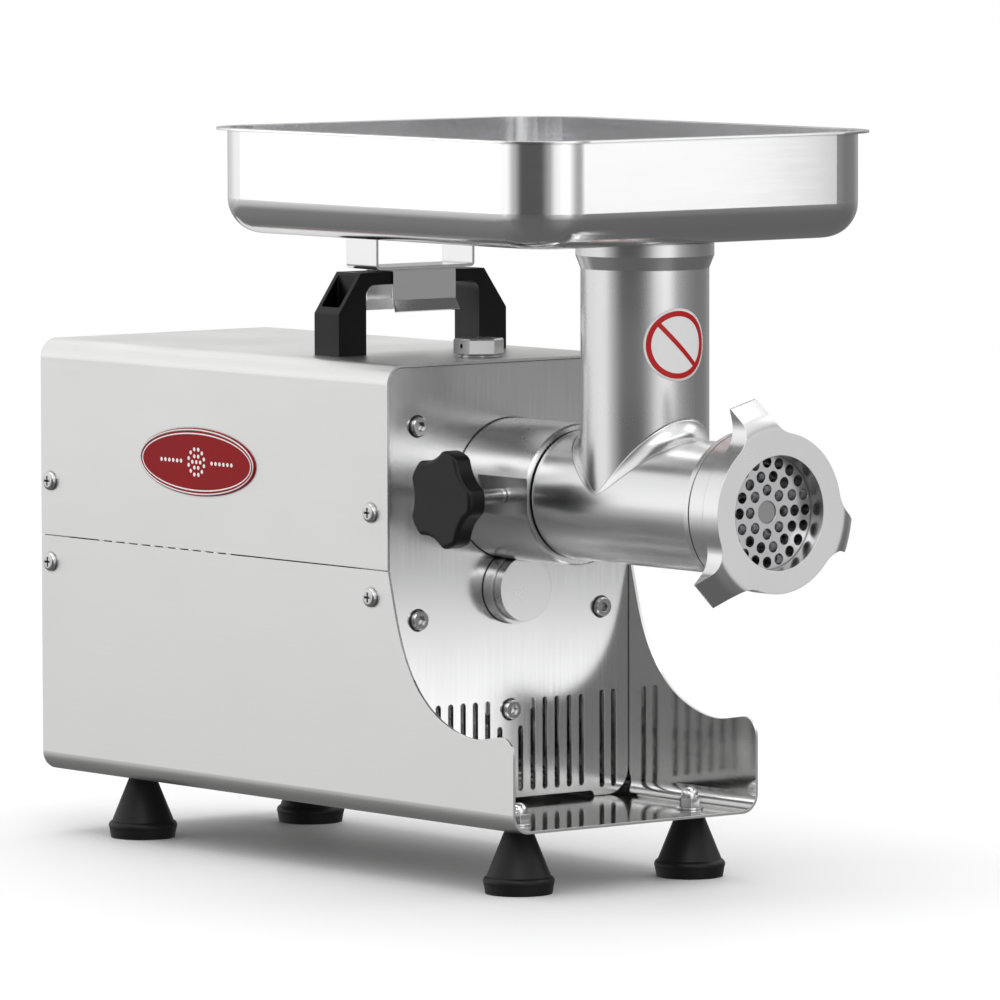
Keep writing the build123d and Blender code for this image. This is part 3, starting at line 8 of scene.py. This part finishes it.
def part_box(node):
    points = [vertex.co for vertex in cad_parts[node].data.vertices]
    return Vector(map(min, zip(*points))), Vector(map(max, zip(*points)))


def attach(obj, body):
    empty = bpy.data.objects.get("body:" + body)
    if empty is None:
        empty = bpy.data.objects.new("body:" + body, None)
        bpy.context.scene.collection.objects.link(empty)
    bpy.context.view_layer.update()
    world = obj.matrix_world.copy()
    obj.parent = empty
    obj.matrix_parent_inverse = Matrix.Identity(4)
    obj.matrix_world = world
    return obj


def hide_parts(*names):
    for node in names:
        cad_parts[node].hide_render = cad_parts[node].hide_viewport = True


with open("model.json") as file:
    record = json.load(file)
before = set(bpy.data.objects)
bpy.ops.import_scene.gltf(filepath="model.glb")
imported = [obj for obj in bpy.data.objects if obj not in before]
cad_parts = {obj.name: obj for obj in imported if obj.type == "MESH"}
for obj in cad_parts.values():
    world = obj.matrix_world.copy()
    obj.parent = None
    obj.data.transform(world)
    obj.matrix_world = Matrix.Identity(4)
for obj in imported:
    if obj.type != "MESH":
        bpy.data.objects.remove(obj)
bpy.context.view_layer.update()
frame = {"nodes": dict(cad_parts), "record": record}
nodes = frame["nodes"]

# ---------------------------------------------------------------- stage


def point_at(obj, spot, roll=0.0):
    """Turns a camera or light at its place so that it looks at a spot."""
    direction = Vector(spot) - obj.location
    turn = direction.to_track_quat("-Z", "Y").to_matrix()
    obj.rotation_euler = (turn @ Matrix.Rotation(math.radians(roll), 3, "Z")).to_euler()


def make_camera():
    """A long lens that looks at the machine from its front left, just above the horizon."""
    azimuth, elevation = math.radians(-38.84), math.radians(4.565)
    distance = 4.833
    aim = Vector((-0.0335, -0.0804, 0.2061))
    back = Vector((
        math.sin(azimuth) * math.cos(elevation),
        -math.cos(azimuth) * math.cos(elevation),
        math.sin(elevation),
    ))
    data = bpy.data.cameras.new("camera")
    data.sensor_width = 36.0
    data.lens = 323.7
    data.clip_end = 60.0
    camera = bpy.data.objects.new("camera", data)
    camera.location = aim + back * distance
    bpy.context.collection.objects.link(camera)
    point_at(camera, aim, roll=-0.12)
    bpy.context.scene.camera = camera


def area_light(name, place, spot, size, power, lights_only=()):
    """A soft panel that looks at a spot. With lights_only, it lights just the nodes named."""
    data = bpy.data.lights.new(name, "AREA")
    data.shape = "RECTANGLE"
    data.size, data.size_y = size
    data.energy = power
    light = bpy.data.objects.new(name, data)
    if lights_only:
        group = bpy.data.collections.new(name + "_group")
        for piece in lights_only:
            group.objects.link(nodes[piece])
        light.light_linking.receiver_collection = group
    light.location = place
    light.visible_camera = False
    bpy.context.collection.objects.link(light)
    point_at(light, spot)


def node_tree(owner):
    """Clears an owner's shader nodes. Returns its tree and a function that adds a node to it."""
    owner.use_nodes = True
    tree = owner.node_tree
    tree.nodes.clear()

    def add(kind, **settings):
        node = tree.nodes.new(kind)
        for key, value in settings.items():
            if key.startswith("in_"):
                socket = key[3:]
                place = int(socket) if socket.isdigit() else socket.replace("_", " ")
                node.inputs[place].default_value = value
            else:
                setattr(node, key, value)
        return node

    return tree, add


def fill_ramp(ramp, stops):
    """Gives a colour ramp its stops, each a place from 0 to 1 and a grey."""
    ramp.interpolation = "EASE"
    while len(ramp.elements) < len(stops):
        ramp.elements.new(0.5)
    for element, (place, grey) in zip(ramp.elements, stops):
        element.position = place
        element.color = (grey, grey, grey, 1.0)


def make_world():
    """Soft studio: a bright room with softer, darker stretches that give metal its bands."""
    world = bpy.data.worlds.new("studio")
    bpy.context.scene.world = world
    tree, add = node_tree(world)
    link = tree.links.new
    coords = add("ShaderNodeTexCoord")
    split = add("ShaderNodeSeparateXYZ")
    link(coords.outputs["Generated"], split.inputs[0])
    turn = add("ShaderNodeMath", operation="ARCTAN2")
    link(split.outputs["X"], turn.inputs[0])
    link(split.outputs["Y"], turn.inputs[1])
    around = add("ShaderNodeMapRange", in_From_Min=-math.pi, in_From_Max=math.pi)
    link(turn.outputs[0], around.inputs[0])
    bands = add("ShaderNodeValToRGB")
    fill_ramp(bands.color_ramp, STUDIO_BANDS)
    link(around.outputs[0], bands.inputs[0])
    level = add("ShaderNodeMapRange", in_From_Min=-1.0, in_From_Max=1.0)
    link(split.outputs["Z"], level.inputs[0])
    colour = bands.outputs[0]
    for stops, grey in ((STUDIO_CEILING, CEILING), (STUDIO_GROUND, GROUND)):
        share = add("ShaderNodeValToRGB")
        fill_ramp(share.color_ramp, stops)
        link(level.outputs[0], share.inputs[0])
        blend = add("ShaderNodeMix", data_type="RGBA")
        link(share.outputs[0], blend.inputs["Factor"])
        link(colour, blend.inputs[6])
        blend.inputs[7].default_value = (grey, grey, grey, 1.0)
        colour = blend.outputs[2]
    room = add("ShaderNodeBackground", in_Strength=1.0)
    link(colour, room.inputs["Color"])
    seen = add("ShaderNodeBackground", in_Strength=1.0)
    seen.inputs["Color"].default_value = (1.0, 1.0, 1.0, 1.0)
    path = add("ShaderNodeLightPath")
    choose = add("ShaderNodeMixShader")
    link(path.outputs["Is Camera Ray"], choose.inputs[0])
    link(room.outputs[0], choose.inputs[1])
    link(seen.outputs[0], choose.inputs[2])
    out = add("ShaderNodeOutputWorld")
    link(choose.outputs[0], out.inputs["Surface"])


# place round the horizon (0 and 1 face the front, 0.25 is -X, 0.5 the back, 0.75 +X) and its grey
STUDIO_BANDS = [
    (0.00, 1.45), (0.055, 1.10), (0.09, 0.40), (0.13, 0.09), (0.23, 0.09), (0.275, 0.55),
    (0.32, 1.25), (0.43, 1.06), (0.52, 0.72), (0.61, 0.42), (0.68, 0.38), (0.75, 0.22),
    (0.82, 0.20), (0.875, 0.27), (0.935, 0.45), (1.00, 1.45),
]
# place from straight down (0) to straight up (1), and how much of the plain ceiling is mixed in
STUDIO_CEILING = [(0.50, 0.0), (0.58, 0.15), (0.72, 0.75), (0.88, 1.0)]
# the same from straight down, and how much of the dark ground is mixed in
STUDIO_GROUND = [(0.0, 1.0), (0.32, 0.92), (0.42, 0.55), (0.49, 0.0)]
CEILING = 0.92
GROUND = 0.13
# metres from the middle: the floor's half width, and where it starts and ends to fade
FLOOR_HALF = 9
FADE_START = 0.45
FADE_END = 1.1


def make_floor():
    """A pale floor that fades out round the machine and isn't mirrored in the metal."""
    verts = [(x * FLOOR_HALF, y * FLOOR_HALF, 0) for x, y in ((-1, -1), (1, -1), (1, 1), (-1, 1))]
    mesh = bpy.data.meshes.new("floor")
    mesh.from_pydata(verts, [], [(0, 1, 2, 3)])
    floor = bpy.data.objects.new("floor", mesh)
    bpy.context.collection.objects.link(floor)
    material = bpy.data.materials.new("floor")
    tree, add = node_tree(material)
    shader = add("ShaderNodeBsdfPrincipled", in_Roughness=0.55)
    shader.inputs["Base Color"].default_value = (0.93, 0.93, 0.93, 1.0)
    noise = add("ShaderNodeTexNoise", in_Scale=40.0, in_Detail=3.0)
    spread = add("ShaderNodeMapRange", in_To_Min=0.5, in_To_Max=0.6)
    coords = add("ShaderNodeTexCoord")
    reach = add("ShaderNodeVectorMath", operation="LENGTH")
    fade = add("ShaderNodeMapRange", in_From_Min=FADE_START, in_From_Max=FADE_END,
               interpolation_type="SMOOTHSTEP")
    clear = add("ShaderNodeBsdfTransparent")
    choose = add("ShaderNodeMixShader")
    out = add("ShaderNodeOutputMaterial")
    tree.links.new(noise.outputs[0], spread.inputs[0])
    tree.links.new(spread.outputs[0], shader.inputs["Roughness"])
    tree.links.new(coords.outputs["Object"], reach.inputs[0])
    tree.links.new(reach.outputs["Value"], fade.inputs[0])
    tree.links.new(fade.outputs[0], choose.inputs[0])
    tree.links.new(shader.outputs[0], choose.inputs[1])
    tree.links.new(clear.outputs[0], choose.inputs[2])
    tree.links.new(choose.outputs[0], out.inputs["Surface"])
    floor.visible_glossy = False
    mesh.materials.append(material)


# ---------------------------------------------------------------- materials

# metres over which an edge is softened, and over which crevices, seams and recesses are darkened with
# painted shade
EDGE_RADIUS = 0.0004
CREVICE_REACH = 0.0016
# how much of a smooth metal's tone comes from its fine grain rather than from its clouds
SMOOTH_SPECKLE = 0.06


def metal(name, colour, roughness, grain, grain_scale, grain_depth, patchiness,
          polished_inside=None, speckle=0.45):
    """Bare metal: grain stretched along one axis, cloudy tone and gloss, softened edges lightened with a
    painted highlight that also stands for rubbed wear, and painted shade in crevices.
    """
    material = bpy.data.materials.new(name)
    tree, add = node_tree(material)
    link = tree.links.new
    coords = add("ShaderNodeTexCoord")
    stretch = add("ShaderNodeMapping")
    stretch.inputs["Scale"].default_value = grain
    link(coords.outputs["Object"], stretch.inputs["Vector"])
    lines = add("ShaderNodeTexNoise", in_Scale=grain_scale, in_Detail=1.0, in_Roughness=0.4)
    link(stretch.outputs[0], lines.inputs["Vector"])
    clouds = add("ShaderNodeTexNoise", in_Scale=14.0, in_Detail=3.0, in_Roughness=0.5)
    link(coords.outputs["Object"], clouds.inputs["Vector"])
    shader = add("ShaderNodeBsdfPrincipled", in_Metallic=1.0)
    both = add("ShaderNodeMath", operation="MULTIPLY_ADD", in_1=speckle)
    link(lines.outputs[0], both.inputs[0])
    half = add("ShaderNodeMath", operation="MULTIPLY", in_1=1.0 - speckle)
    link(clouds.outputs[0], half.inputs[0])
    link(half.outputs[0], both.inputs[2])
    tone = add("ShaderNodeMix", data_type="RGBA")
    tone.inputs[6].default_value = tuple(c * (1.0 - patchiness) for c in colour) + (1.0,)
    tone.inputs[7].default_value = tuple(min(1.0, c * (1.0 + patchiness)) for c in colour) + (1.0,)
    link(both.outputs[0], tone.inputs["Factor"])
    softened = add("ShaderNodeBevel", in_Radius=EDGE_RADIUS, samples=4)
    geometry = add("ShaderNodeNewGeometry")
    bend = add("ShaderNodeVectorMath", operation="DOT_PRODUCT")
    link(softened.outputs[0], bend.inputs[0])
    link(geometry.outputs["Normal"], bend.inputs[1])
    # painted highlight and rubbed wear: where the softened normal bends away from the face, the base colour
    # is lightened towards near-white
    edge_highlight_and_wear_mask = add("ShaderNodeMapRange", in_From_Min=0.995, in_From_Max=0.90, in_To_Min=0.0, in_To_Max=0.55)
    link(bend.outputs["Value"], edge_highlight_and_wear_mask.inputs[0])
    edge_highlight_and_wear = add("ShaderNodeMix", data_type="RGBA")
    link(edge_highlight_and_wear_mask.outputs[0], edge_highlight_and_wear.inputs["Factor"])
    link(tone.outputs[2], edge_highlight_and_wear.inputs[6])
    edge_highlight_and_wear.inputs[7].default_value = (0.93, 0.93, 0.92, 1.0)
    # painted shade: ambient occlusion darkens the base colour in crevices, seams and recesses, where shade
    # falls
    shelter = add("ShaderNodeAmbientOcclusion", in_Distance=CREVICE_REACH, samples=4)
    painted_crevice_shade = add("ShaderNodeMapRange", in_From_Min=0.35, in_From_Max=0.85, in_To_Min=0.30, in_To_Max=1.0)
    link(shelter.outputs["AO"], painted_crevice_shade.inputs[0])
    shaded = add("ShaderNodeMix", data_type="RGBA", blend_type="MULTIPLY")
    shaded.inputs["Factor"].default_value = 1.0
    link(edge_highlight_and_wear.outputs[2], shaded.inputs[6])
    link(painted_crevice_shade.outputs[0], shaded.inputs[7])
    link(shaded.outputs[2], shader.inputs["Base Color"])
    gloss = add("ShaderNodeMapRange", in_From_Min=0.3, in_From_Max=0.7,
                in_To_Min=roughness * 0.85, in_To_Max=roughness * 1.2)
    link(both.outputs[0], gloss.inputs[0])
    rough = gloss.outputs[0]
    if polished_inside is not None:
        place, facing = add("ShaderNodeSeparateXYZ"), add("ShaderNodeSeparateXYZ")
        link(coords.outputs["Object"], place.inputs[0])
        link(coords.outputs["Normal"], facing.inputs[0])
        inward = add("ShaderNodeMath", operation="MULTIPLY")
        link(place.outputs["X"], inward.inputs[0])
        link(facing.outputs["X"], inward.inputs[1])
        walls = add("ShaderNodeMath", operation="LESS_THAN", in_1=-0.02)
        link(inward.outputs[0], walls.inputs[0])
        upward = add("ShaderNodeMath", operation="GREATER_THAN", in_1=0.6)
        link(facing.outputs["Z"], upward.inputs[0])
        inner = add("ShaderNodeMath", operation="MAXIMUM")
        link(walls.outputs[0], inner.inputs[0])
        link(upward.outputs[0], inner.inputs[1])
        change = add("ShaderNodeMix", data_type="FLOAT")
        link(inner.outputs[0], change.inputs[0])
        link(rough, change.inputs[2])
        change.inputs[3].default_value = polished_inside
        rough = change.outputs[0]
    link(rough, shader.inputs["Roughness"])
    bump = add("ShaderNodeBump", in_Strength=min(1.0, 2.0 * speckle), in_Distance=grain_depth / 1000.0)
    link(lines.outputs[0], bump.inputs["Height"])
    link(softened.outputs[0], bump.inputs["Normal"])
    link(bump.outputs[0], shader.inputs["Normal"])
    out = add("ShaderNodeOutputMaterial")
    link(shader.outputs[0], out.inputs["Surface"])
    return material


def moulded(name, colour, roughness, grain_scale, grain_depth, patchiness=0.15, specular=0.5):
    """Moulded plastic or rubber: fine grain and slight tone changes."""
    material = bpy.data.materials.new(name)
    tree, add = node_tree(material)
    link = tree.links.new
    coords = add("ShaderNodeTexCoord")
    grain = add("ShaderNodeTexNoise", in_Scale=grain_scale, in_Detail=2.0)
    clouds = add("ShaderNodeTexNoise", in_Scale=25.0, in_Detail=4.0)
    link(coords.outputs["Object"], grain.inputs["Vector"])
    link(coords.outputs["Object"], clouds.inputs["Vector"])
    shader = add("ShaderNodeBsdfPrincipled")
    shader.inputs["Specular IOR Level"].default_value = specular
    tone = add("ShaderNodeMix", data_type="RGBA")
    tone.inputs[6].default_value = tuple(c * (1.0 - patchiness) for c in colour) + (1.0,)
    tone.inputs[7].default_value = tuple(min(1.0, c * (1.0 + patchiness)) for c in colour) + (1.0,)
    link(clouds.outputs[0], tone.inputs["Factor"])
    link(tone.outputs[2], shader.inputs["Base Color"])
    gloss = add("ShaderNodeMapRange", in_From_Min=0.3, in_From_Max=0.7,
                in_To_Min=roughness * 0.85, in_To_Max=min(1.0, roughness * 1.15))
    link(clouds.outputs[0], gloss.inputs[0])
    link(gloss.outputs[0], shader.inputs["Roughness"])
    bump = add("ShaderNodeBump", in_Strength=1.0, in_Distance=grain_depth / 1000.0)
    link(grain.outputs[0], bump.inputs["Height"])
    link(bump.outputs[0], shader.inputs["Normal"])
    out = add("ShaderNodeOutputMaterial")
    link(shader.outputs[0], out.inputs["Surface"])
    return material


even = (1.0, 1.0, 1.0)
along_y = (1.0, 0.02, 1.0)
along_z = (1.0, 1.0, 0.02)
round_z = (0.05, 0.05, 1.0)
finishes = {
    "casing_steel": metal("casing_steel", (0.84, 0.84, 0.83), 0.36, along_y, 900.0, 0.002, 0.05),
    "plate_steel": metal("plate_steel", (0.76, 0.76, 0.765), 0.20, along_z, 900.0, 0.001, 0.03),
    "tray_steel": metal("tray_steel", (0.86, 0.86, 0.865), 0.14, round_z, 700.0, 0.001, 0.03),
    "head_steel": metal("head_steel", (0.80, 0.80, 0.805), 0.25, even, 600.0, 0.0004, 0.04,
                        speckle=SMOOTH_SPECKLE),
    "ring_steel": metal("ring_steel", (0.80, 0.80, 0.80), 0.25, even, 600.0, 0.0004, 0.03,
                        speckle=SMOOTH_SPECKLE),
    "blade_steel": metal("blade_steel", (0.60, 0.60, 0.61), 0.25, even, 600.0, 0.002, 0.06,
                         speckle=SMOOTH_SPECKLE),
    "gear_steel": metal("gear_steel", (0.45, 0.45, 0.46), 0.32, even, 500.0, 0.004, 0.10),
    "bearing_steel": metal("bearing_steel", (0.66, 0.66, 0.68), 0.15, even, 500.0, 0.002, 0.05,
                           speckle=SMOOTH_SPECKLE),
    "fastener_steel": metal("fastener_steel", (0.66, 0.66, 0.66), 0.22, even, 600.0, 0.0004, 0.06,
                            speckle=SMOOTH_SPECKLE),
    "bright_chrome": metal("bright_chrome", (0.84, 0.84, 0.85), 0.07, even, 300.0, 0.001, 0.03,
                           speckle=SMOOTH_SPECKLE),
    "cast_aluminium": metal("cast_aluminium", (0.76, 0.76, 0.76), 0.26, even, 600.0, 0.0004, 0.04,
                            speckle=SMOOTH_SPECKLE),
    "core_iron": metal("core_iron", (0.25, 0.25, 0.26), 0.45, along_y, 300.0, 0.02, 0.15),
    "copper_wire": metal("copper_wire", (0.55, 0.25, 0.12), 0.30, even, 250.0, 0.03, 0.2),
    "rubber": moulded("rubber", (0.008, 0.008, 0.009), 0.46, 700.0, 0.02, specular=0.30),
    "gasket": moulded("gasket", (0.22, 0.19, 0.15), 0.8, 300.0, 0.05),
    "black_plastic": moulded("black_plastic", (0.006, 0.006, 0.007), 0.34, 1400.0, 0.01, specular=0.28),
    "white_plastic": moulded("white_plastic", (0.80, 0.80, 0.77), 0.4, 900.0, 0.01, patchiness=0.04),
    "badge_red": moulded("badge_red", (0.27, 0.004, 0.007), 0.42, 300.0, 0.0, specular=0.16),
    "button_red": moulded("button_red", (0.50, 0.012, 0.014), 0.35, 900.0, 0.0, specular=0.3),
    "label_white": moulded("label_white", (0.86, 0.86, 0.86), 0.35, 300.0, 0.0, patchiness=0.02,
                           specular=0.3),
}
shell_finish = metal("casing_shell", (0.84, 0.84, 0.83), 0.36, along_y, 900.0, 0.002, 0.05,
                     polished_inside=0.10)
slot_of = {sub["node"]: sub["material_slot"] for sub in frame["record"]["subparts"]}
for name, node in nodes.items():
    node.data.materials.clear()
    node.data.materials.append(shell_finish if name == "base_shell" else finishes[slot_of[name]])

# ---------------------------------------------------------------- modelled pieces


def piece_from(name, verts, faces, slot, smooth=True):
    """Makes one piece in metres from points in millimetres and fixes it to the root body."""
    mesh = bpy.data.meshes.new(name)
    mesh.from_pydata([tuple(c / 1000.0 for c in v) for v in verts], [], faces)
    mesh.validate()
    mesh.update()
    obj = bpy.data.objects.new(name, mesh)
    bpy.context.collection.objects.link(obj)
    if smooth:
        mesh.shade_smooth()
    mesh.materials.append(finishes[slot])
    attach(obj, "root")
    return obj


def ring_of_sections(sections):
    """Closed tube: joins equal closed cross-sections one after the other, and the last to the first."""
    count, size = len(sections), len(sections[0])
    verts = [point for section in sections for point in section]
    faces = []
    for i in range(count):
        for j in range(size):
            here, ahead = i * size, ((i + 1) % count) * size
            k = (j + 1) % size
            faces.append((here + j, ahead + j, ahead + k, here + k))
    return verts, faces


def millimetres(node):
    """A node's low and high corners in millimetres."""
    low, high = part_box(node)
    return [v * 1000.0 for v in low], [v * 1000.0 for v in high]


mounts = {mount["name"]: mount for mount in frame["record"]["mounts"]}
neck_y = mounts["feed_throat"]["pos_m"][1] * 1000.0
axis_z = mounts["outlet"]["pos_m"][2] * 1000.0
# millimetres
NECK_RADIUS = 34.3
BARREL_RADIUS = 34.8
SADDLE_RADIUS = 11.0
# how far in, as a share of the radius, the fillet's hidden corner lies inside the casting
BURIED = 0.965


def saddle_fillet():
    """The casting's soft fillet between neck and barrel: the trace of a ball that rolls on both."""
    steps, arc_steps = 192, 14
    around_neck, around_barrel = NECK_RADIUS + SADDLE_RADIUS, BARREL_RADIUS + SADDLE_RADIUS
    sections = []
    for i in range(steps):
        turn = 2.0 * math.pi * i / steps
        centre = Vector((
            around_neck * math.sin(turn),
            neck_y + around_neck * math.cos(turn),
            axis_z + math.sqrt(around_barrel ** 2 - (around_neck * math.sin(turn)) ** 2),
        ))
        on_neck = Vector((NECK_RADIUS * math.sin(turn), neck_y + NECK_RADIUS * math.cos(turn), centre.z))
        share = BARREL_RADIUS / around_barrel
        on_barrel = Vector((centre.x * share, centre.y, axis_z + (centre.z - axis_z) * share))
        start, end = (on_neck - centre).normalized(), (on_barrel - centre).normalized()
        angle = start.angle(end)
        section = []
        for j in range(arc_steps + 1):
            part = j / arc_steps
            if angle > 1e-4:
                ray = (start * math.sin((1 - part) * angle) + end * math.sin(part * angle)) / math.sin(angle)
            else:
                ray = start
            section.append(centre + ray * SADDLE_RADIUS)
        inside = Vector((on_neck.x * BURIED, neck_y + (on_neck.y - neck_y) * BURIED,
                         axis_z + (on_barrel.z - axis_z) * BURIED))
        section.append(inside)
        sections.append([tuple(v) for v in section])
    verts, faces = ring_of_sections(sections)
    piece_from("saddle_fillet", verts, faces, "head_steel")


saddle_fillet()

BADGE_LENGTH, BADGE_HEIGHT = 52.5, 18.75


def badge_point(along, up, proud, centre):
    """A point on the badge: along its length to the front, up, and proud of its face."""
    return (centre[0] - proud, centre[1] - along, centre[2] + up)


def oval_ring(name, inset, width, base, height, centre, slot):
    """A flat oval bead on the badge, with rounded shoulders."""
    steps = 160
    sections = []
    for i in range(steps):
        turn = 2.0 * math.pi * i / steps
        section = []
        for offset, proud in ((0.0, base), (0.12, base + height * 0.8), (0.3, base + height),
                              (width - 0.3, base + height), (width - 0.12, base + height * 0.8),
                              (width, base)):
            along = (BADGE_LENGTH - inset - offset) * math.cos(turn)
            up = (BADGE_HEIGHT - inset - offset) * math.sin(turn)
            section.append(badge_point(along, up, proud, centre))
        sections.append(section)
    verts, faces = ring_of_sections(sections)
    piece_from(name, verts, faces, slot)


def dot_mesh(centres, radius, place, base, height, segments=20):
    """Low round studs with a softened top edge, all in one mesh."""
    verts, faces = [], []
    for along, up in centres:
        first = len(verts)
        for size, proud in ((radius, base), (radius, base + height * 0.7), (radius - 0.12, base + height)):
            for k in range(segments):
                turn = 2.0 * math.pi * k / segments
                verts.append(place(along + size * math.cos(turn), up + size * math.sin(turn), proud))
        for level in range(2):
            for k in range(segments):
                a, b = first + level * segments + k, first + level * segments + (k + 1) % segments
                faces.append((a, b, b + segments, a + segments))
        faces.append(tuple(first + 2 * segments + k for k in range(segments)))
        faces.append(tuple(first + k for k in reversed(range(segments))))
    return verts, faces


def badge_pieces():
    """The badge's raised rim and line, and a plain emblem of dots."""
    low, high = millimetres("side_badge")
    centre = (low[0] + 0.02, (low[1] + high[1]) / 2.0, (low[2] + high[2]) / 2.0)
    oval_ring("badge_rim", 0.45, 1.2, -0.3, 0.48, centre, "casing_steel")
    oval_ring("badge_inner_line", 2.6, 0.9, -0.05, 0.16, centre, "label_white")
    centres = [(0.0, 0.0)]
    for count, radius in ((6, 3.6), (12, 7.2)):
        for k in range(count):
            turn = 2.0 * math.pi * (k + 0.5 * (count == 12)) / count
            centres.append((radius * math.cos(turn), radius * math.sin(turn)))
    for side in (-1, 1):
        centres += [(side * (14.0 + 3.6 * k), 0.0) for k in range(6)]
    verts, faces = dot_mesh(centres, 1.15, lambda a, u, p: badge_point(a, u, p, centre), -0.05, 0.09)
    piece_from("badge_emblem", verts, faces, "label_white", smooth=False)


badge_pieces()

LABEL_RADIUS = 19.3
LABEL_TURN = math.radians(-9.0)
# heights over the neck: the white disc's two faces, and the red print's two faces
DISC_BASE, DISC_TOP = 0.02, 0.20
PRINT_BASE, PRINT_TOP = 0.15, 0.25


def on_neck(along, up, proud, centre_z):
    """A point on the neck: along its curve to the right, up, and proud of its surface."""
    turn = LABEL_TURN + along / NECK_RADIUS
    radius = NECK_RADIUS + proud
    return (radius * math.sin(turn), neck_y - radius * math.cos(turn), centre_z + up)


def label_disc(name, inner, outer, base, top, centre_z, slot):
    """A thin flat ring wrapped on the neck, between two radii and two heights over its surface."""
    steps, rings = 96, 10
    sections = []
    for i in range(steps):
        turn = 2.0 * math.pi * i / steps
        sizes = [inner + (outer - inner) * j / rings for j in range(rings + 1)]
        section = [on_neck(s * math.cos(turn), s * math.sin(turn), top, centre_z) for s in sizes]
        section += [on_neck(s * math.cos(turn), s * math.sin(turn), base, centre_z) for s in reversed(sizes)]
        sections.append(section)
    verts, faces = ring_of_sections(sections)
    return piece_from(name, verts, faces, slot)


def label_pieces():
    """The neck's white label, with a red ring and a red bar across it."""
    low, high = millimetres("neck_label")
    centre_z = (low[2] + high[2]) / 2.0
    disc = label_disc("label_disc", 0.4, LABEL_RADIUS, DISC_BASE, DISC_TOP, centre_z, "label_white")
    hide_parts("neck_label")
    label_disc("label_hub", 0.01, 0.5, DISC_BASE, DISC_TOP, centre_z, "label_white")
    label_disc("label_red_ring", LABEL_RADIUS - 4.2, LABEL_RADIUS - 1.3, PRINT_BASE, PRINT_TOP,
               centre_z, "button_red")
    half, length, steps = 1.25, LABEL_RADIUS - 3.6, 40
    verts = []
    for proud in (PRINT_TOP, PRINT_BASE):
        for side in (-half, half):
            for k in range(steps + 1):
                t = -length + 2.0 * length * k / steps
                along, up = (t + side) * math.sqrt(0.5), (-t + side) * math.sqrt(0.5)
                verts.append(on_neck(along, up, proud, centre_z))
    row = steps + 1
    faces = []
    for k in range(steps):
        top_a, top_b, low_a, low_b = k, row + k, 2 * row + k, 3 * row + k
        faces += [(top_a, top_b, top_b + 1, top_a + 1), (low_a, low_a + 1, low_b + 1, low_b),
                  (top_a, top_a + 1, low_a + 1, low_a), (top_b, low_b, low_b + 1, top_b + 1)]
    faces += [(0, 2 * row, 3 * row, row), (steps, row + steps, 3 * row + steps, 2 * row + steps)]
    piece_from("label_red_bar", verts, faces, "button_red", smooth=False)


label_pieces()

# ---------------------------------------------------------------- the studio and the end

make_camera()
make_world()
make_floor()
area_light("key", (-2.2, -2.6, 2.9), (0, 0, 0.2), (2.2, 2.2), 26)
area_light("plate_panel", (0.62, -0.86, -0.09), (0.0, -0.05, 0.12), (0.75, 0.28), 0.80,
           lights_only=("front_plate", "gearbox_front_housing"))
area_light("ring_panel", (0.62, -1.05, 0.14), (0.0, -0.27, 0.21), (0.5, 0.5), 0.40,
           lights_only=("ring_nut", "grinding_plate"))
area_light("tray_panel", (0.585, -1.02, 0.38), (0.0, -0.22, 0.37), (0.30, 0.24), 0.20,
           lights_only=("tray",))
area_light("tray_side_panel", (-0.74, 0.56, 0.36), (-0.12, -0.1, 0.37), (0.34, 0.22), 0.10,
           lights_only=("tray",))
area_light("fill", (2.6, -1.6, 2.2), (0, 0, 0.2), (2.0, 2.0), 10)
area_light("top", (0.0, 0.4, 3.0), (0, 0, 0.2), (3.0, 3.0), 34)
bpy.context.scene.view_settings.view_transform = "Standard"
